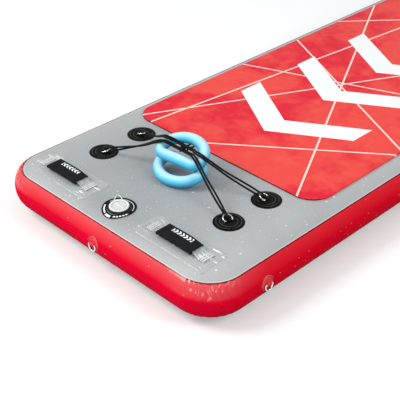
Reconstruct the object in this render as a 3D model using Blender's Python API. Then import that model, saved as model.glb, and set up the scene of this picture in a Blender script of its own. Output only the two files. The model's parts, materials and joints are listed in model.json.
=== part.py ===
"""Inflatable floating fitness mat with its deck pad, valve, carry handles,
D-rings, elastic cords and two soft pull grips.

Frame: X across the width, Y along the length with the valve end at -Y,
Z up. The origin is at the middle of the underside. All lengths are metres.
"""
import math

import bmesh
import bpy
from mathutils import Matrix, Vector

# The inflated hull
LENGTH = 2.400
WIDTH = 0.900
THICKNESS = 0.150
CORNER_RADIUS = 0.130
RAIL_REACH = 0.090
RAIL_SEAM_DEG = 46.5
SKIN_LAP_DEG = 16.5
WALL_LAP_DEG = 62.0
SKIN = 0.0012
BAND = 0.0012
WALL = 0.0010
FIT = 0.0003
LAP_GAP = 0.0005
CORNER_STEPS = 5
BAND_STEPS = 10
SKIN_STEPS = 6
WALL_STEPS = 8

# The woven panel with its drop threads
WEAVE = 0.0010
PANEL_INSET = 0.108
THREAD = 0.008
THREAD_ROWS = 10
THREAD_COLUMNS = 3

# The foam deck pad
PAD_SIDE_MARGIN = 0.076
PAD_FRONT_MARGIN = 0.483
PAD_REAR_MARGIN = 0.215
PAD_CORNER = 0.070
PAD_THICKNESS = 0.006
PAD_LIP = 0.004

# The inflation valve
VALVE_FROM_END = 0.098
VALVE_TILT_DEG = 3.0
FLANGE_RADIUS = 0.0340
FLANGE_THICK = 0.0015
BARREL_RADIUS = 0.0220
BARREL_DEPTH = 0.0300
BORE_RADIUS = 0.0165
COLLAR_RADIUS = 0.0245
COLLAR_HEIGHT = 0.0010
SHELF_DEPTH = 0.0200
SHELF_THICK = 0.0020
SHELF_WINDOWS = 4
WINDOW_RADIUS = 0.0035
WINDOW_TURN_SHARE = 0.3
GASKET_THICK = 0.0010
NUT_RADIUS = 0.0320
NUT_THICK = 0.0050
NUT_DROP = 0.0085
STEM_RADIUS = 0.0030
GUIDE_CLEARANCE = 0.0008
BUTTON_RADIUS = 0.0075
BUTTON_THICK = 0.0022
BUTTON_BELOW_RIM = 0.0012
PLUG_RADIUS = 0.0140
PLUG_THICK = 0.0025
SPRING_RADIUS = 0.0052
SPRING_WIRE = 0.0006
SPRING_TURNS = 6
CAP_RADIUS = 0.0285
CAP_TOP = 0.0022
CAP_SKIRT_CLEARANCE = 0.0008
CAP_SEAL_WIRE = 0.0006
# Shares of the cap's radius: its raised rim, its dish, the dish's middle and the finger bar
CAP_RIM_SHARE = 0.70
CAP_DISH_SHARE = 0.64
CAP_MIDDLE_SHARE = 0.20
CAP_BAR_LENGTH_SHARE = 0.66
CAP_BAR_WIDTH_SHARE = 0.10
LABEL_OUTER = 0.0500
LABEL_THICK = 0.0004
TETHER_WIRE = 0.0012
TETHER_REACH = 0.0620
TETHER_HEADING_DEG = 143.0
TETHER_SPREAD_DEG = 24.0
# Shares of the tether's spread, of its way out and of its rise, from the cap to the anchor
TETHER_SHARES = ((1.0, 0.0, 1.0), (0.36, 0.5, 0.7), (0.1, 0.93, 0.0), (0.0, 1.0, 0.0))

# D-rings and their moulded patches
RING_WIRE = 0.0022
RING_BAR = 0.0090
RING_CORNER = 0.0042
RING_ARC = 0.0165
DECK_PATCH_RADIUS = 0.0440
DECK_PATCH_THICK = 0.0030
DECK_PATCH_LIP = 0.0012
# Shares of the patch's radius and thickness at the steps of its moulded face
DECK_PATCH_SHARES = ((0.80, 0.75), (0.72, 0.60), (0.55, 1.0))
RING_X = 0.260
RING_FRONT_Y = 0.2615
RING_REAR_Y = 0.4128
BOSS_HALF_WIDTH = 0.0080
BOSS_HALF_DEPTH = 0.0068
BOSS_HEIGHT = 0.0078
BOSS_SINK = 0.0015
BOSS_CHAMFER_SHARE = 0.33
TUNNEL_CLEARANCE = 0.0008
DECK_RING_TILT_DEG = 22.0
RAIL_PATCH_RADIUS = 0.0240
RAIL_PATCH_THICK = 0.0016
RAIL_PATCH_SHARES = (1.0, 0.65, 0.3)
RAIL_BOSS_SHARE = 0.7
RAIL_RING_Y = 0.210
RAIL_RING_HEIGHT = 0.078

# Carry handles
HANDLE_X = 0.234
HANDLE_FROM_END = 0.105
BASE_LENGTH = 0.262
BASE_WIDTH = 0.098
BASE_THICK = 0.0012
BASE_CORNER = 0.012
STRAP_WIDTH = 0.038
STRAP_THICK = 0.0022
STRAP_HALF_LENGTH = 0.106
STRAP_TAB = 0.018
STRAP_RAMP = 0.024
STRAP_STEP = 0.0070
STRAP_BOW = 0.0022
GRIP_HALF_LENGTH = 0.064
GRIP_WIDTH = 0.054
GRIP_THICK = 0.0110
GRIP_SLOT_CLEARANCE = 0.0006
# Shares of the half width and half thickness at a corner of the sleeve and of its slot
GRIP_CORNER_SHARES = ((1.0, 0.4), (0.9, 0.8), (0.6, 1.0))
SLOT_CORNER_SHARES = ((1.0, 0.9), (0.9, 1.0), (0.6, 1.0))
GRIP_STEPS = 6
STRAP_END_STEPS = 5

# Soft pull grips
PULL_TUBE = 0.0165
PULL_BAR = 0.0535
PULL_CORNER = 0.0210
PULL_ARC = 0.0600
LOWER_GRIP_X = 0.0020
LOWER_GRIP_Y = 0.3530
LOWER_GRIP_YAW_DEG = 3.5
LOWER_GRIP_ROLL_DEG = 1.7
LOWER_GRIP_TILT_DEG = 14.5
UPPER_GRIP_X = 0.0000
UPPER_GRIP_Y = 0.3180
UPPER_GRIP_YAW_DEG = 4.5
UPPER_GRIP_ROLL_DEG = 2.1
UPPER_GRIP_TILT_DEG = 23.0

# Elastic cord
CORD = 0.0054
CORD_PITCH = 0.0078
CORD_CLEARANCE = 0.0018
STRAND_POINTS = 14
BIGHT_GAP = 0.0005
BIGHT_LEAD_SHARE = 1.6
KNOT_SPREAD = 0.0039
KNOT_HEIGHT = 0.0056
KNOT_X = -0.0060
KNOT_FROM_END = 0.3505
KNOT_LIFT = 0.0800
# The part of the knot's closed curve that is kept, in half turns
KNOT_SPAN_SHARES = (0.60, 2.30)
# Points of the two tails, as shares of the knot's spread and of its height
FIRST_TAIL_SHARES = ((2.4, 4.6, 2.1), (1.6, 3.5, 1.6), (0.6, 2.3, 1.1))
LAST_TAIL_SHARES = ((3.1, 2.0, 0.4), (4.5, 2.9, 1.2), (6.8, 3.8, 2.1))
OVERRUN = 0.004

# Points along each doubled cord: its crossing over the upper grip, its way down, the knot.
# Each is a place across the width, a distance from the valve end and a height above the deck.
CORD_ROUTES = {
    "front_left": ((-0.0740, 0.3255, 0.0800), (-0.0540, 0.3320, 0.0860),
                   (-0.0060, 0.3440, 0.0800)),
    "rear_left": ((-0.0740, 0.3440, 0.0900), (-0.0540, 0.3490, 0.0930),
                  (-0.0060, 0.3570, 0.0860)),
    "front_right": ((0.0690, 0.3240, 0.0800), (0.0400, 0.3320, 0.0860),
                    (-0.0060, 0.3440, 0.0800)),
    "rear_right": ((0.0740, 0.3420, 0.0850), (0.0400, 0.3495, 0.0900),
                   (-0.0060, 0.3570, 0.0860)),
}

RUBBER_BLACK = ((0.012, 0.012, 0.013, 1), 0.45, 0.0)
VALVE_BLACK = ((0.012, 0.012, 0.013, 1), 0.4, 0.0)
RAIL_RED = ((0.70, 0.018, 0.035, 1), 0.35, 0.0)
DECK_GREY = ((0.42, 0.44, 0.45, 1), 0.45, 0.0)
PAD_RED = ((0.80, 0.035, 0.040, 1), 0.6, 0.0)
VALVE_WHITE = ((0.82, 0.82, 0.82, 1), 0.4, 0.0)
STEEL = ((0.75, 0.75, 0.76, 1), 0.18, 1.0)
GRIP_BLUE = ((0.20, 0.66, 0.88, 1), 0.5, 0.0)
CLEAR_PVC = ((0.62, 0.64, 0.65, 1), 0.25, 0.0)
WOVEN_WHITE = ((0.72, 0.72, 0.70, 1), 0.8, 0.0)


# Small tools


def clear_scene():
    for old in list(bpy.data.objects):
        bpy.data.objects.remove(old, do_unlink=True)


def material(name, finish):
    found = bpy.data.materials.get(name)
    if found:
        return found
    colour, roughness, metallic = finish
    made = bpy.data.materials.new(name)
    made.use_nodes = True
    shader = made.node_tree.nodes["Principled BSDF"]
    shader.inputs["Base Color"].default_value = colour
    shader.inputs["Roughness"].default_value = roughness
    shader.inputs["Metallic"].default_value = metallic
    made.diffuse_color = colour
    return made


def finish_mesh(name, bm, looks):
    """Turn a bmesh into an object with its normals out and round faces smooth."""
    bmesh.ops.remove_doubles(bm, verts=bm.verts, dist=FIT / 300)
    bmesh.ops.recalc_face_normals(bm, faces=bm.faces)
    if bm.calc_volume(signed=True) < 0:
        bmesh.ops.reverse_faces(bm, faces=bm.faces)
    mesh = bpy.data.meshes.new(name)
    bm.to_mesh(mesh)
    bm.free()
    mesh.shade_smooth()
    mesh.set_sharp_from_angle(angle=math.radians(35))
    mesh.materials.append(looks)
    piece = bpy.data.objects.new(name, mesh)
    bpy.context.collection.objects.link(piece)
    return piece


def loops_solid(name, loops, looks, closed=False):
    """Skin a row of equal point loops. Open rows get a face at each end."""
    bm = bmesh.new()
    rows = [[bm.verts.new(point) for point in loop] for loop in loops]
    pairs = list(zip(rows, rows[1:]))
    if closed:
        pairs.append((rows[-1], rows[0]))
    for lower, upper in pairs:
        for here in range(len(lower)):
            after = (here + 1) % len(lower)
            bm.faces.new((lower[here], lower[after], upper[after], upper[here]))
    if not closed:
        bm.faces.new(rows[0])
        bm.faces.new(rows[-1])
    return finish_mesh(name, bm, looks)


def place_under(piece, name, matrix):
    """Parent a piece to an empty that stands on its joint or seat."""
    holder = bpy.data.objects.new(name, None)
    bpy.context.collection.objects.link(holder)
    holder.matrix_world = matrix
    piece.parent = holder
    return holder


def cut(piece, cutter, operation="DIFFERENCE"):
    """Apply an exact Boolean and drop the cutter."""
    for solid in (piece, cutter):
        bm = bmesh.new()
        bm.from_mesh(solid.data)
        bmesh.ops.triangulate(bm, faces=bm.faces)
        bm.to_mesh(solid.data)
        bm.free()
    change = piece.modifiers.new(operation.lower(), "BOOLEAN")
    change.operation = operation
    change.object = cutter
    change.solver = "EXACT"
    bpy.context.view_layer.update()
    graph = bpy.context.evaluated_depsgraph_get()
    result = bpy.data.meshes.new_from_object(piece.evaluated_get(graph))
    piece.modifiers.clear()
    piece.data = result
    result.shade_smooth()
    result.set_sharp_from_angle(angle=math.radians(35))
    bpy.data.objects.remove(cutter, do_unlink=True)


def circle(radius, steps):
    return [(radius * math.cos(2 * math.pi * k / steps),
             radius * math.sin(2 * math.pi * k / steps)) for k in range(steps)]


def turned(name, profile, looks, steps=24):
    """Turn a closed profile of (radius, height) points round local Z."""
    loops = []
    for step in range(steps):
        angle = 2 * math.pi * step / steps
        loops.append([(radius * math.cos(angle), radius * math.sin(angle), height)
                      for radius, height in profile])
    return loops_solid(name, loops, looks, closed=True)


def turned_solid(name, profile, looks, steps=24):
    """Turn an open profile that runs from the underside to the top, with end faces."""
    loops = [[(x, y, height) for x, y in circle(radius, steps)]
             for radius, height in profile]
    return loops_solid(name, loops, looks)


def tube(name, points, radius, looks, sides, loop=False):
    """A round tube along a row of points, each section square to the path."""
    count = len(points)
    path = [Vector(point) for point in points]
    tangents = []
    for here in range(count):
        before = path[here - 1] if loop or here else path[here]
        after = path[(here + 1) % count] if loop or here + 1 < count else path[here]
        tangents.append((after - before).normalized())
    side = tangents[0].orthogonal().normalized()
    loops = []
    for here in range(count):
        side = (side - tangents[here] * side.dot(tangents[here])).normalized()
        other = tangents[here].cross(side)
        loops.append([path[here] + side * across + other * up
                      for across, up in circle(radius, sides)])
    if loop:
        turn = closing_turn(loops, sides)
        loops = [untwist(row, path[k], tangents[k], -turn * k / count)
                 for k, row in enumerate(loops)]
    return loops_solid(name, loops, looks, closed=loop)


def closing_turn(loops, sides):
    """How far the last section has turned against the first one."""
    start, end = loops[0][0], loops[-1]
    nearest = min(range(sides), key=lambda k: (end[k] - start).length)
    return 2 * math.pi * nearest / sides if nearest <= sides / 2 else \
        2 * math.pi * (nearest - sides) / sides


def untwist(row, centre, axis, angle):
    spin = Matrix.Rotation(-angle, 3, axis)
    return [centre + spin @ (point - centre) for point in row]


def spline_points(guide, count):
    """Read points from a smooth curve through the guide's own points."""
    path = [Vector(point) for point in guide]
    ends = [path[0] * 2 - path[1]] + path + [path[-1] * 2 - path[-2]]
    dense = []
    fine = 24
    for k in range(1, len(ends) - 2):
        a, b, c, d = ends[k - 1], ends[k], ends[k + 1], ends[k + 2]
        for step in range(fine):
            t = step / fine
            dense.append(0.5 * ((2 * b) + (c - a) * t + (2 * a - 5 * b + 4 * c - d) * t ** 2
                                + (3 * b - a - 3 * c + d) * t ** 3))
    dense.append(path[-1])
    run = [0.0]
    for a, b in zip(dense, dense[1:]):
        run.append(run[-1] + (b - a).length)
    found = []
    for k in range(count):
        want = run[-1] * k / (count - 1)
        here = max(j for j in range(len(run)) if run[j] <= want + FIT / 1000)
        here = min(here, len(run) - 2)
        part = (want - run[here]) / (run[here + 1] - run[here])
        found.append(dense[here].lerp(dense[here + 1], min(part, 1)))
    return found


# The hull's own shape


HALF_WIDTH = WIDTH / 2
HALF_LENGTH = LENGTH / 2
MID_HEIGHT = THICKNESS / 2
BAND_TOTAL = BAND + LAP_GAP


def rounded_outline(half_x, half_y, radius, steps=CORNER_STEPS):
    """A rectangle with round corners, anticlockwise."""
    points = []
    for corner, (sx, sy) in enumerate(((1, 1), (-1, 1), (-1, -1), (1, -1))):
        for step in range(steps + 1):
            angle = math.pi / 2 * (corner + step / steps)
            points.append((sx * (half_x - radius) + radius * math.cos(angle),
                           sy * (half_y - radius) + radius * math.sin(angle)))
    return points


def hull_outline(inset, height):
    return [(x, y, height) for x, y in
            rounded_outline(HALF_WIDTH - inset, HALF_LENGTH - inset, CORNER_RADIUS - inset)]


def rail_arc(shrink_out, shrink_up, start_deg, end_deg, steps):
    """(inset, height) points on the rail's half ellipse; 90 degrees is the deck."""
    reach = RAIL_REACH - shrink_out
    rise = MID_HEIGHT - shrink_up
    found = []
    for step in range(steps + 1):
        angle = math.radians(start_deg + (end_deg - start_deg) * step / steps)
        found.append((RAIL_REACH - reach * math.cos(angle),
                      MID_HEIGHT + rise * math.sin(angle)))
    return found


def inset_of(x, y):
    """Distance of a plan point inside the hull's outer edge."""
    core_x = max(abs(x) - (HALF_WIDTH - CORNER_RADIUS), 0)
    core_y = max(abs(y) - (HALF_LENGTH - CORNER_RADIUS), 0)
    if core_x and core_y:
        return CORNER_RADIUS - math.hypot(core_x, core_y)
    return min(HALF_WIDTH - abs(x), HALF_LENGTH - abs(y))


def deck_height(x, y):
    """Height of the skin's outer face over a plan point."""
    inset = inset_of(x, y)
    if inset >= RAIL_REACH:
        return THICKNESS
    across = (RAIL_REACH - inset) / (RAIL_REACH - BAND_TOTAL)
    return MID_HEIGHT + MID_HEIGHT * math.sqrt(max(1 - across ** 2, 0))


def deck_slope(x, y):
    """Unit normal of the skin over a plan point."""
    step = FIT
    dx = (deck_height(x + step, y) - deck_height(x - step, y)) / (2 * step)
    dy = (deck_height(x, y + step) - deck_height(x, y - step)) / (2 * step)
    return Vector((-dx, -dy, 1)).normalized()


def draped_sheet(name, rings, centre, thick, looks, lift=FIT, lip=0.0, fill=True):
    """A sheet of even thickness that lies on the deck.

    rings runs from the outer outline inwards; each is a list of plan offsets.
    """
    cx, cy = centre

    def settle(offset, above):
        x, y = cx + offset[0], cy + offset[1]
        return Vector((x, y, deck_height(x, y))) + deck_slope(x, y) * above

    under = [[settle(point, lift) for point in ring] for ring in rings]
    over = [[settle(point, lift + thick) for point in ring] for ring in rings]
    if lip:
        over[0] = [settle(point, lift + thick - lip) for point in rings[0]]
    if fill:
        return loops_solid(name, under[::-1] + over, looks)
    return loops_solid(name, under[::-1] + over, looks, closed=True)


# Hull pieces


def make_skin(name, looks, side):
    """The deck skin (side 1) or the bottom skin (side -1), lapped under the rail band."""
    edge = RAIL_SEAM_DEG - SKIN_LAP_DEG
    outer = rail_arc(BAND_TOTAL, 0, edge, 90, SKIN_STEPS)
    inner = rail_arc(BAND_TOTAL + SKIN, SKIN, 90, edge, SKIN_STEPS)
    rows = []
    for inset, height in outer[::-1] + inner[::-1]:
        mirrored = MID_HEIGHT + side * (height - MID_HEIGHT)
        rows.append(hull_outline(inset, mirrored))
    return loops_solid(name, rows, looks)


def make_deck_skin(looks, valve_frame):
    skin = make_skin("deck_skin", looks, 1)
    hole = turned_solid("valve_hole", [(BARREL_RADIUS + 2 * FIT, -BARREL_DEPTH),
                                       (BARREL_RADIUS + 2 * FIT, BARREL_DEPTH)], looks)
    hole.matrix_world = valve_frame
    cut(skin, hole)
    return skin


def make_rail_band(looks):
    """The red band that wraps the rail from seam to seam."""
    outer = rail_arc(0, -BAND_TOTAL, -RAIL_SEAM_DEG, RAIL_SEAM_DEG, BAND_STEPS)
    inner = rail_arc(BAND, -LAP_GAP, RAIL_SEAM_DEG, -RAIL_SEAM_DEG, BAND_STEPS)
    return loops_solid("rail_band", [hull_outline(i, h) for i, h in outer + inner],
                       looks, closed=True)


def make_inner_wall(looks):
    """The airtight side wall behind the skins' laps."""
    gap_out = BAND_TOTAL + SKIN + LAP_GAP
    gap_up = SKIN + LAP_GAP
    outer = rail_arc(gap_out, gap_up, -WALL_LAP_DEG, WALL_LAP_DEG, WALL_STEPS)
    inner = rail_arc(gap_out + WALL, gap_up + WALL, WALL_LAP_DEG, -WALL_LAP_DEG, WALL_STEPS)
    return loops_solid("inner_side_wall", [hull_outline(i, h) for i, h in outer + inner],
                       looks, closed=True)


def make_panel(looks, valve_frame):
    """Two woven faces held level by bundles of drop thread."""
    top = THICKNESS - SKIN - FIT
    levels = (top, top - WEAVE, THICKNESS - top + WEAVE, THICKNESS - top)
    half_x = HALF_WIDTH - PANEL_INSET
    half_y = HALF_LENGTH - PANEL_INSET
    xs = thread_lines(half_x, THREAD_COLUMNS)
    ys = thread_lines(half_y, THREAD_ROWS)
    bm = bmesh.new()
    grids = [[[bm.verts.new((x, y, z)) for x in xs] for y in ys] for z in levels[1:3]]
    faces = []
    for z in (levels[0], levels[3]):
        edge_points = [(x, ys[0]) for x in xs] + [(xs[-1], y) for y in ys[1:]] \
            + [(x, ys[-1]) for x in xs[-2::-1]] + [(xs[0], y) for y in ys[-2:0:-1]]
        faces.append([bm.verts.new((x, y, z)) for x, y in edge_points])
    for ring in faces:
        bm.faces.new(ring)
    for grid, ring in zip(grids, faces):
        rim = grid[0] + [row[-1] for row in grid[1:]] + grid[-1][-2::-1] \
            + [row[0] for row in grid[-2:0:-1]]
        for here in range(len(rim)):
            after = (here + 1) % len(rim)
            bm.faces.new((rim[here], rim[after], ring[after], ring[here]))
    for row in range(len(ys) - 1):
        for column in range(len(xs) - 1):
            threads = row % 2 == 1 and column % 2 == 1
            corners = ((row, column), (row, column + 1), (row + 1, column + 1), (row + 1, column))
            upper = [grids[0][r][c] for r, c in corners]
            lower = [grids[1][r][c] for r, c in corners]
            if not threads:
                bm.faces.new(upper)
                bm.faces.new(lower)
                continue
            for here in range(4):
                after = (here + 1) % 4
                bm.faces.new((upper[here], upper[after], lower[after], lower[here]))
    panel = finish_mesh("drop_stitch_panel", bm, looks)
    notch = turned_solid("valve_notch", [(NUT_RADIUS + OVERRUN, -NUT_DROP - NUT_THICK - OVERRUN),
                                         (NUT_RADIUS + OVERRUN, BARREL_DEPTH)], looks)
    notch.matrix_world = valve_frame
    cut(panel, notch)
    return panel


def thread_lines(half, count):
    """Grid lines along one direction, two for each bundle of threads."""
    lines = [-half]
    for k in range(count):
        middle = half * (2 * (k + 0.5) / count - 1)
        lines += [middle - THREAD / 2, middle + THREAD / 2]
    return lines + [half]


def make_pad(looks):
    """The foam pad on the deck, with its edge rounded over."""
    half_x = HALF_WIDTH - PAD_SIDE_MARGIN
    front = -HALF_LENGTH + PAD_FRONT_MARGIN
    rear = HALF_LENGTH - PAD_REAR_MARGIN
    half_y = (rear - front) / 2
    flat_edge = max(half_x - (HALF_WIDTH - RAIL_REACH), 2 * PAD_LIP)
    rings = [rounded_outline(half_x, half_y, PAD_CORNER),
             rounded_outline(half_x - PAD_LIP, half_y - PAD_LIP, PAD_CORNER - PAD_LIP),
             rounded_outline(half_x - flat_edge, half_y - flat_edge, PAD_CORNER - flat_edge)]
    return draped_sheet("deck_pad", rings, (0, (front + rear) / 2), PAD_THICKNESS, looks,
                        lip=PAD_LIP / 2)


# The valve


def valve_seat_frame():
    """Tilted frame whose plane clears the curved deck under the whole flange."""
    cy = -HALF_LENGTH + VALVE_FROM_END
    tilt = Matrix.Rotation(math.radians(VALVE_TILT_DEG), 4, "X")
    normal = tilt @ Vector((0, 0, 1))
    lift = -THICKNESS
    for x, y in circle(FLANGE_RADIUS, 24):
        above = deck_height(x, cy + y) - THICKNESS
        lift = max(lift, above + normal.y * y / normal.z)
    height = THICKNESS + lift + GASKET_THICK + 2 * FIT
    return Matrix.Translation((0, cy, height)) @ tilt


def make_valve_body(looks, frame):
    rim = FLANGE_THICK + COLLAR_HEIGHT
    shelf_top = -SHELF_DEPTH
    guide = STEM_RADIUS + GUIDE_CLEARANCE
    body = turned("valve_body", [
        (FLANGE_RADIUS, 0), (FLANGE_RADIUS, FLANGE_THICK), (COLLAR_RADIUS, FLANGE_THICK),
        (COLLAR_RADIUS, rim), (BORE_RADIUS, rim), (BORE_RADIUS, shelf_top),
        (guide, shelf_top), (guide, shelf_top - SHELF_THICK),
        (BORE_RADIUS, shelf_top - SHELF_THICK), (BORE_RADIUS, -BARREL_DEPTH),
        (BARREL_RADIUS, -BARREL_DEPTH), (BARREL_RADIUS, 0)], looks)
    middle = (BORE_RADIUS + guide) / 2
    for k in range(SHELF_WINDOWS):
        angle = 2 * math.pi * (k + WINDOW_TURN_SHARE) / SHELF_WINDOWS
        window = turned_solid("window", [(WINDOW_RADIUS, -OVERRUN), (WINDOW_RADIUS, OVERRUN)],
                              looks, 8)
        window.rotation_euler.z = angle
        window.location = (middle * math.cos(angle), middle * math.sin(angle),
                           shelf_top - SHELF_THICK / 2)
        bpy.context.view_layer.update()
        cut(body, window)
    place_under(body, "valve_seat", frame)
    return body


def make_valve(frame, white, black, rubber, steel):
    rim = FLANGE_THICK + COLLAR_HEIGHT
    make_valve_body(black, frame)
    pieces = [
        turned("valve_gasket", [
            (FLANGE_RADIUS - FIT, -FIT), (FLANGE_RADIUS - FIT, -FIT - GASKET_THICK),
            (BARREL_RADIUS + FIT, -FIT - GASKET_THICK), (BARREL_RADIUS + FIT, -FIT)], rubber),
        turned("valve_nut", [
            (NUT_RADIUS, -NUT_DROP), (NUT_RADIUS, -NUT_DROP - NUT_THICK),
            (BARREL_RADIUS + FIT, -NUT_DROP - NUT_THICK), (BARREL_RADIUS + FIT, -NUT_DROP)],
            black, 24),
    ]
    button_top = rim - BUTTON_BELOW_RIM
    button_under = button_top - BUTTON_THICK
    plug_top = -SHELF_DEPTH - SHELF_THICK - FIT
    plunger = turned_solid("valve_plunger", [
        (PLUG_RADIUS, plug_top - PLUG_THICK), (PLUG_RADIUS, plug_top), (STEM_RADIUS, plug_top),
        (STEM_RADIUS, button_under), (BUTTON_RADIUS, button_under),
        (BUTTON_RADIUS, button_top)], white, 16)
    spring_low = -SHELF_DEPTH + SPRING_WIRE + FIT
    spring_high = button_under - SPRING_WIRE - FIT
    turns = SPRING_TURNS * 8
    coil = []
    for k in range(turns + 1):
        angle = 2 * math.pi * k / 8
        coil.append((SPRING_RADIUS * math.cos(angle), SPRING_RADIUS * math.sin(angle),
                     spring_low + (spring_high - spring_low) * k / turns))
    spring = tube("valve_spring", coil, SPRING_WIRE, steel, 6)
    seal_radius = (BORE_RADIUS + COLLAR_RADIUS) / 2
    seal_height = rim + CAP_SEAL_WIRE + FIT
    seal = tube("valve_cap_seal", [(x, y, seal_height) for x, y in circle(seal_radius, 24)],
                CAP_SEAL_WIRE, rubber, 6, loop=True)
    cap = make_cap(rim + FIT, seal_height + CAP_SEAL_WIRE + FIT,
                   seal_radius + CAP_SEAL_WIRE + CAP_SKIRT_CLEARANCE, white)
    tether = make_tether(frame, white)
    for piece in pieces + [plunger, spring, seal, cap]:
        place_under(piece, piece.name + "_axis", frame)
    return tether


def make_cap(bottom, underside, skirt_inner, looks):
    """The screw cap: a low dish that rests on the collar, with a raised finger bar."""
    top = underside + CAP_TOP
    edge = CAP_TOP / 2
    cap = turned_solid("valve_cap", [
        (skirt_inner, bottom), (CAP_RADIUS, bottom), (CAP_RADIUS, top - edge),
        (CAP_RADIUS - edge, top), (CAP_RADIUS * CAP_RIM_SHARE, top),
        (CAP_RADIUS * CAP_DISH_SHARE, top - edge),
        (CAP_RADIUS * CAP_MIDDLE_SHARE, top - edge)], looks)
    hollow = turned_solid("cap_hollow", [(skirt_inner, bottom - OVERRUN),
                                         (skirt_inner, underside)], looks)
    cut(cap, hollow)
    bar = box_mesh("cap_bar", (CAP_RADIUS * CAP_BAR_LENGTH_SHARE,
                               CAP_RADIUS * CAP_BAR_WIDTH_SHARE,
                               (top - underside) / 2 - FIT), looks)
    bar.location = (0, 0, (top + underside) / 2)
    bpy.context.view_layer.update()
    cut(cap, bar, "UNION")
    return cap


def make_tether(frame, looks):
    """A thin loop from the cap's rim to its anchor beside the label."""
    heading = math.radians(TETHER_HEADING_DEG)
    spread = math.radians(TETHER_SPREAD_DEG)
    near = CAP_RADIUS + TETHER_WIRE + FIT
    half = []
    for turn_share, out_share, rise_share in TETHER_SHARES:
        reach = near + (TETHER_REACH - near) * out_share
        angle = heading + spread * turn_share
        point = frame @ Vector((reach * math.cos(angle), reach * math.sin(angle), 0))
        low = deck_height(point.x, point.y) + FIT + TETHER_WIRE
        if reach < LABEL_OUTER + TETHER_WIRE:
            low += LABEL_THICK + FIT
        high = point.z + FLANGE_THICK + 2 * TETHER_WIRE
        half.append((reach, turn_share, low + (high - low) * rise_share))
    guide = []
    for side, rows in ((-1, half), (1, half[-2::-1])):
        for reach, turn_share, height in rows:
            angle = heading + side * spread * turn_share
            point = frame @ Vector((reach * math.cos(angle), reach * math.sin(angle), 0))
            guide.append((point.x, point.y, height))
    return tube("valve_tether", spline_points(guide, 19), TETHER_WIRE, looks, 6)


def make_label(looks):
    inner = FLANGE_RADIUS + 2 * FIT
    rings = [circle(LABEL_OUTER, 24), circle((LABEL_OUTER + inner) / 2, 24), circle(inner, 24)]
    return draped_sheet("valve_label", rings, (0, -HALF_LENGTH + VALVE_FROM_END),
                        LABEL_THICK, looks, fill=False)


def box_mesh(name, half, looks):
    hx, hy, hz = half
    loops = [[(-hx, -hy, z), (hx, -hy, z), (hx, hy, z), (-hx, hy, z)] for z in (-hz, hz)]
    return loops_solid(name, loops, looks)


# D-rings


def d_outline(bar, corner, arc, steps_corner, steps_arc, steps_bar):
    """The centre line of a D: its bar lies on X through the origin, its arc at +Y."""
    points = []
    for k in range(steps_bar):
        points.append((-bar + 2 * bar * k / steps_bar, 0))
    for k in range(steps_corner):
        angle = math.pi / 2 * (k / steps_corner - 1)
        points.append((bar + corner * math.cos(angle), corner + corner * math.sin(angle)))
    for k in range(steps_arc):
        angle = math.pi * k / steps_arc
        points.append(((bar + corner) * math.cos(angle), corner + arc * math.sin(angle)))
    for k in range(steps_corner):
        angle = math.pi + math.pi / 2 * k / steps_corner
        points.append((-bar + corner * math.cos(angle), corner + corner * math.sin(angle)))
    return points


def d_ring(name, looks, matrix):
    """A steel D-ring whose bar is its own hinge axis."""
    path = d_outline(RING_BAR, RING_CORNER, RING_ARC, 2, 10, 2)
    ring = tube(name, [(x, y, 0) for x, y in path], RING_WIRE, looks, 6, loop=True)
    place_under(ring, name + "_hinge", matrix)
    return ring


def ring_tunnel(height):
    """A cutter for the tunnel that holds a ring's bar."""
    radius = RING_WIRE + TUNNEL_CLEARANCE
    hole = turned_solid("tunnel", [(radius, -BOSS_HALF_WIDTH - OVERRUN),
                                   (radius, BOSS_HALF_WIDTH + OVERRUN)], None, 8)
    hole.matrix_world = Matrix.Translation((0, 0, height)) @ Matrix.Rotation(math.pi / 2, 4, "Y")
    bpy.context.view_layer.update()
    return hole


def deck_ring_height():
    """Height of a deck ring's bar above its patch's underside."""
    return DECK_PATCH_THICK + RING_WIRE + TUNNEL_CLEARANCE / 2


def make_deck_ring(name, centre, heading, rubber, steel):
    """A moulded round patch with a boss, and the ring that its tunnel holds."""
    patch = turned_solid("deck_ring_patch_" + name, [
        (DECK_PATCH_RADIUS, 0), (DECK_PATCH_RADIUS, DECK_PATCH_LIP)]
        + [(DECK_PATCH_RADIUS * out, DECK_PATCH_THICK * up) for out, up in DECK_PATCH_SHARES],
        rubber)
    boss_top = DECK_PATCH_THICK + BOSS_HEIGHT
    chamfer = BOSS_HALF_DEPTH * BOSS_CHAMFER_SHARE
    boss = loops_solid("boss", [
        [(sx * BOSS_HALF_WIDTH, y, z) for y, z in (
            (-BOSS_HALF_DEPTH, DECK_PATCH_THICK - BOSS_SINK),
            (BOSS_HALF_DEPTH, DECK_PATCH_THICK - BOSS_SINK),
            (BOSS_HALF_DEPTH, boss_top - 2 * chamfer),
            (BOSS_HALF_DEPTH - chamfer, boss_top - chamfer / 2), (0, boss_top),
            (-BOSS_HALF_DEPTH + chamfer, boss_top - chamfer / 2),
            (-BOSS_HALF_DEPTH, boss_top - 2 * chamfer))] for sx in (-1, 1)], rubber)
    cut(patch, boss, "UNION")
    cut(patch, ring_tunnel(deck_ring_height()))
    x, y = centre
    seat = Matrix.Translation((x, y, deck_height(x, y) + FIT)) \
        @ Matrix.Rotation(heading - math.pi / 2, 4, "Z")
    place_under(patch, "seat_" + name, seat)
    hinge = seat @ Matrix.Translation((0, 0, deck_ring_height())) \
        @ Matrix.Rotation(math.radians(DECK_RING_TILT_DEG), 4, "X")
    return d_ring("deck_ring_" + name, steel, hinge)


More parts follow.
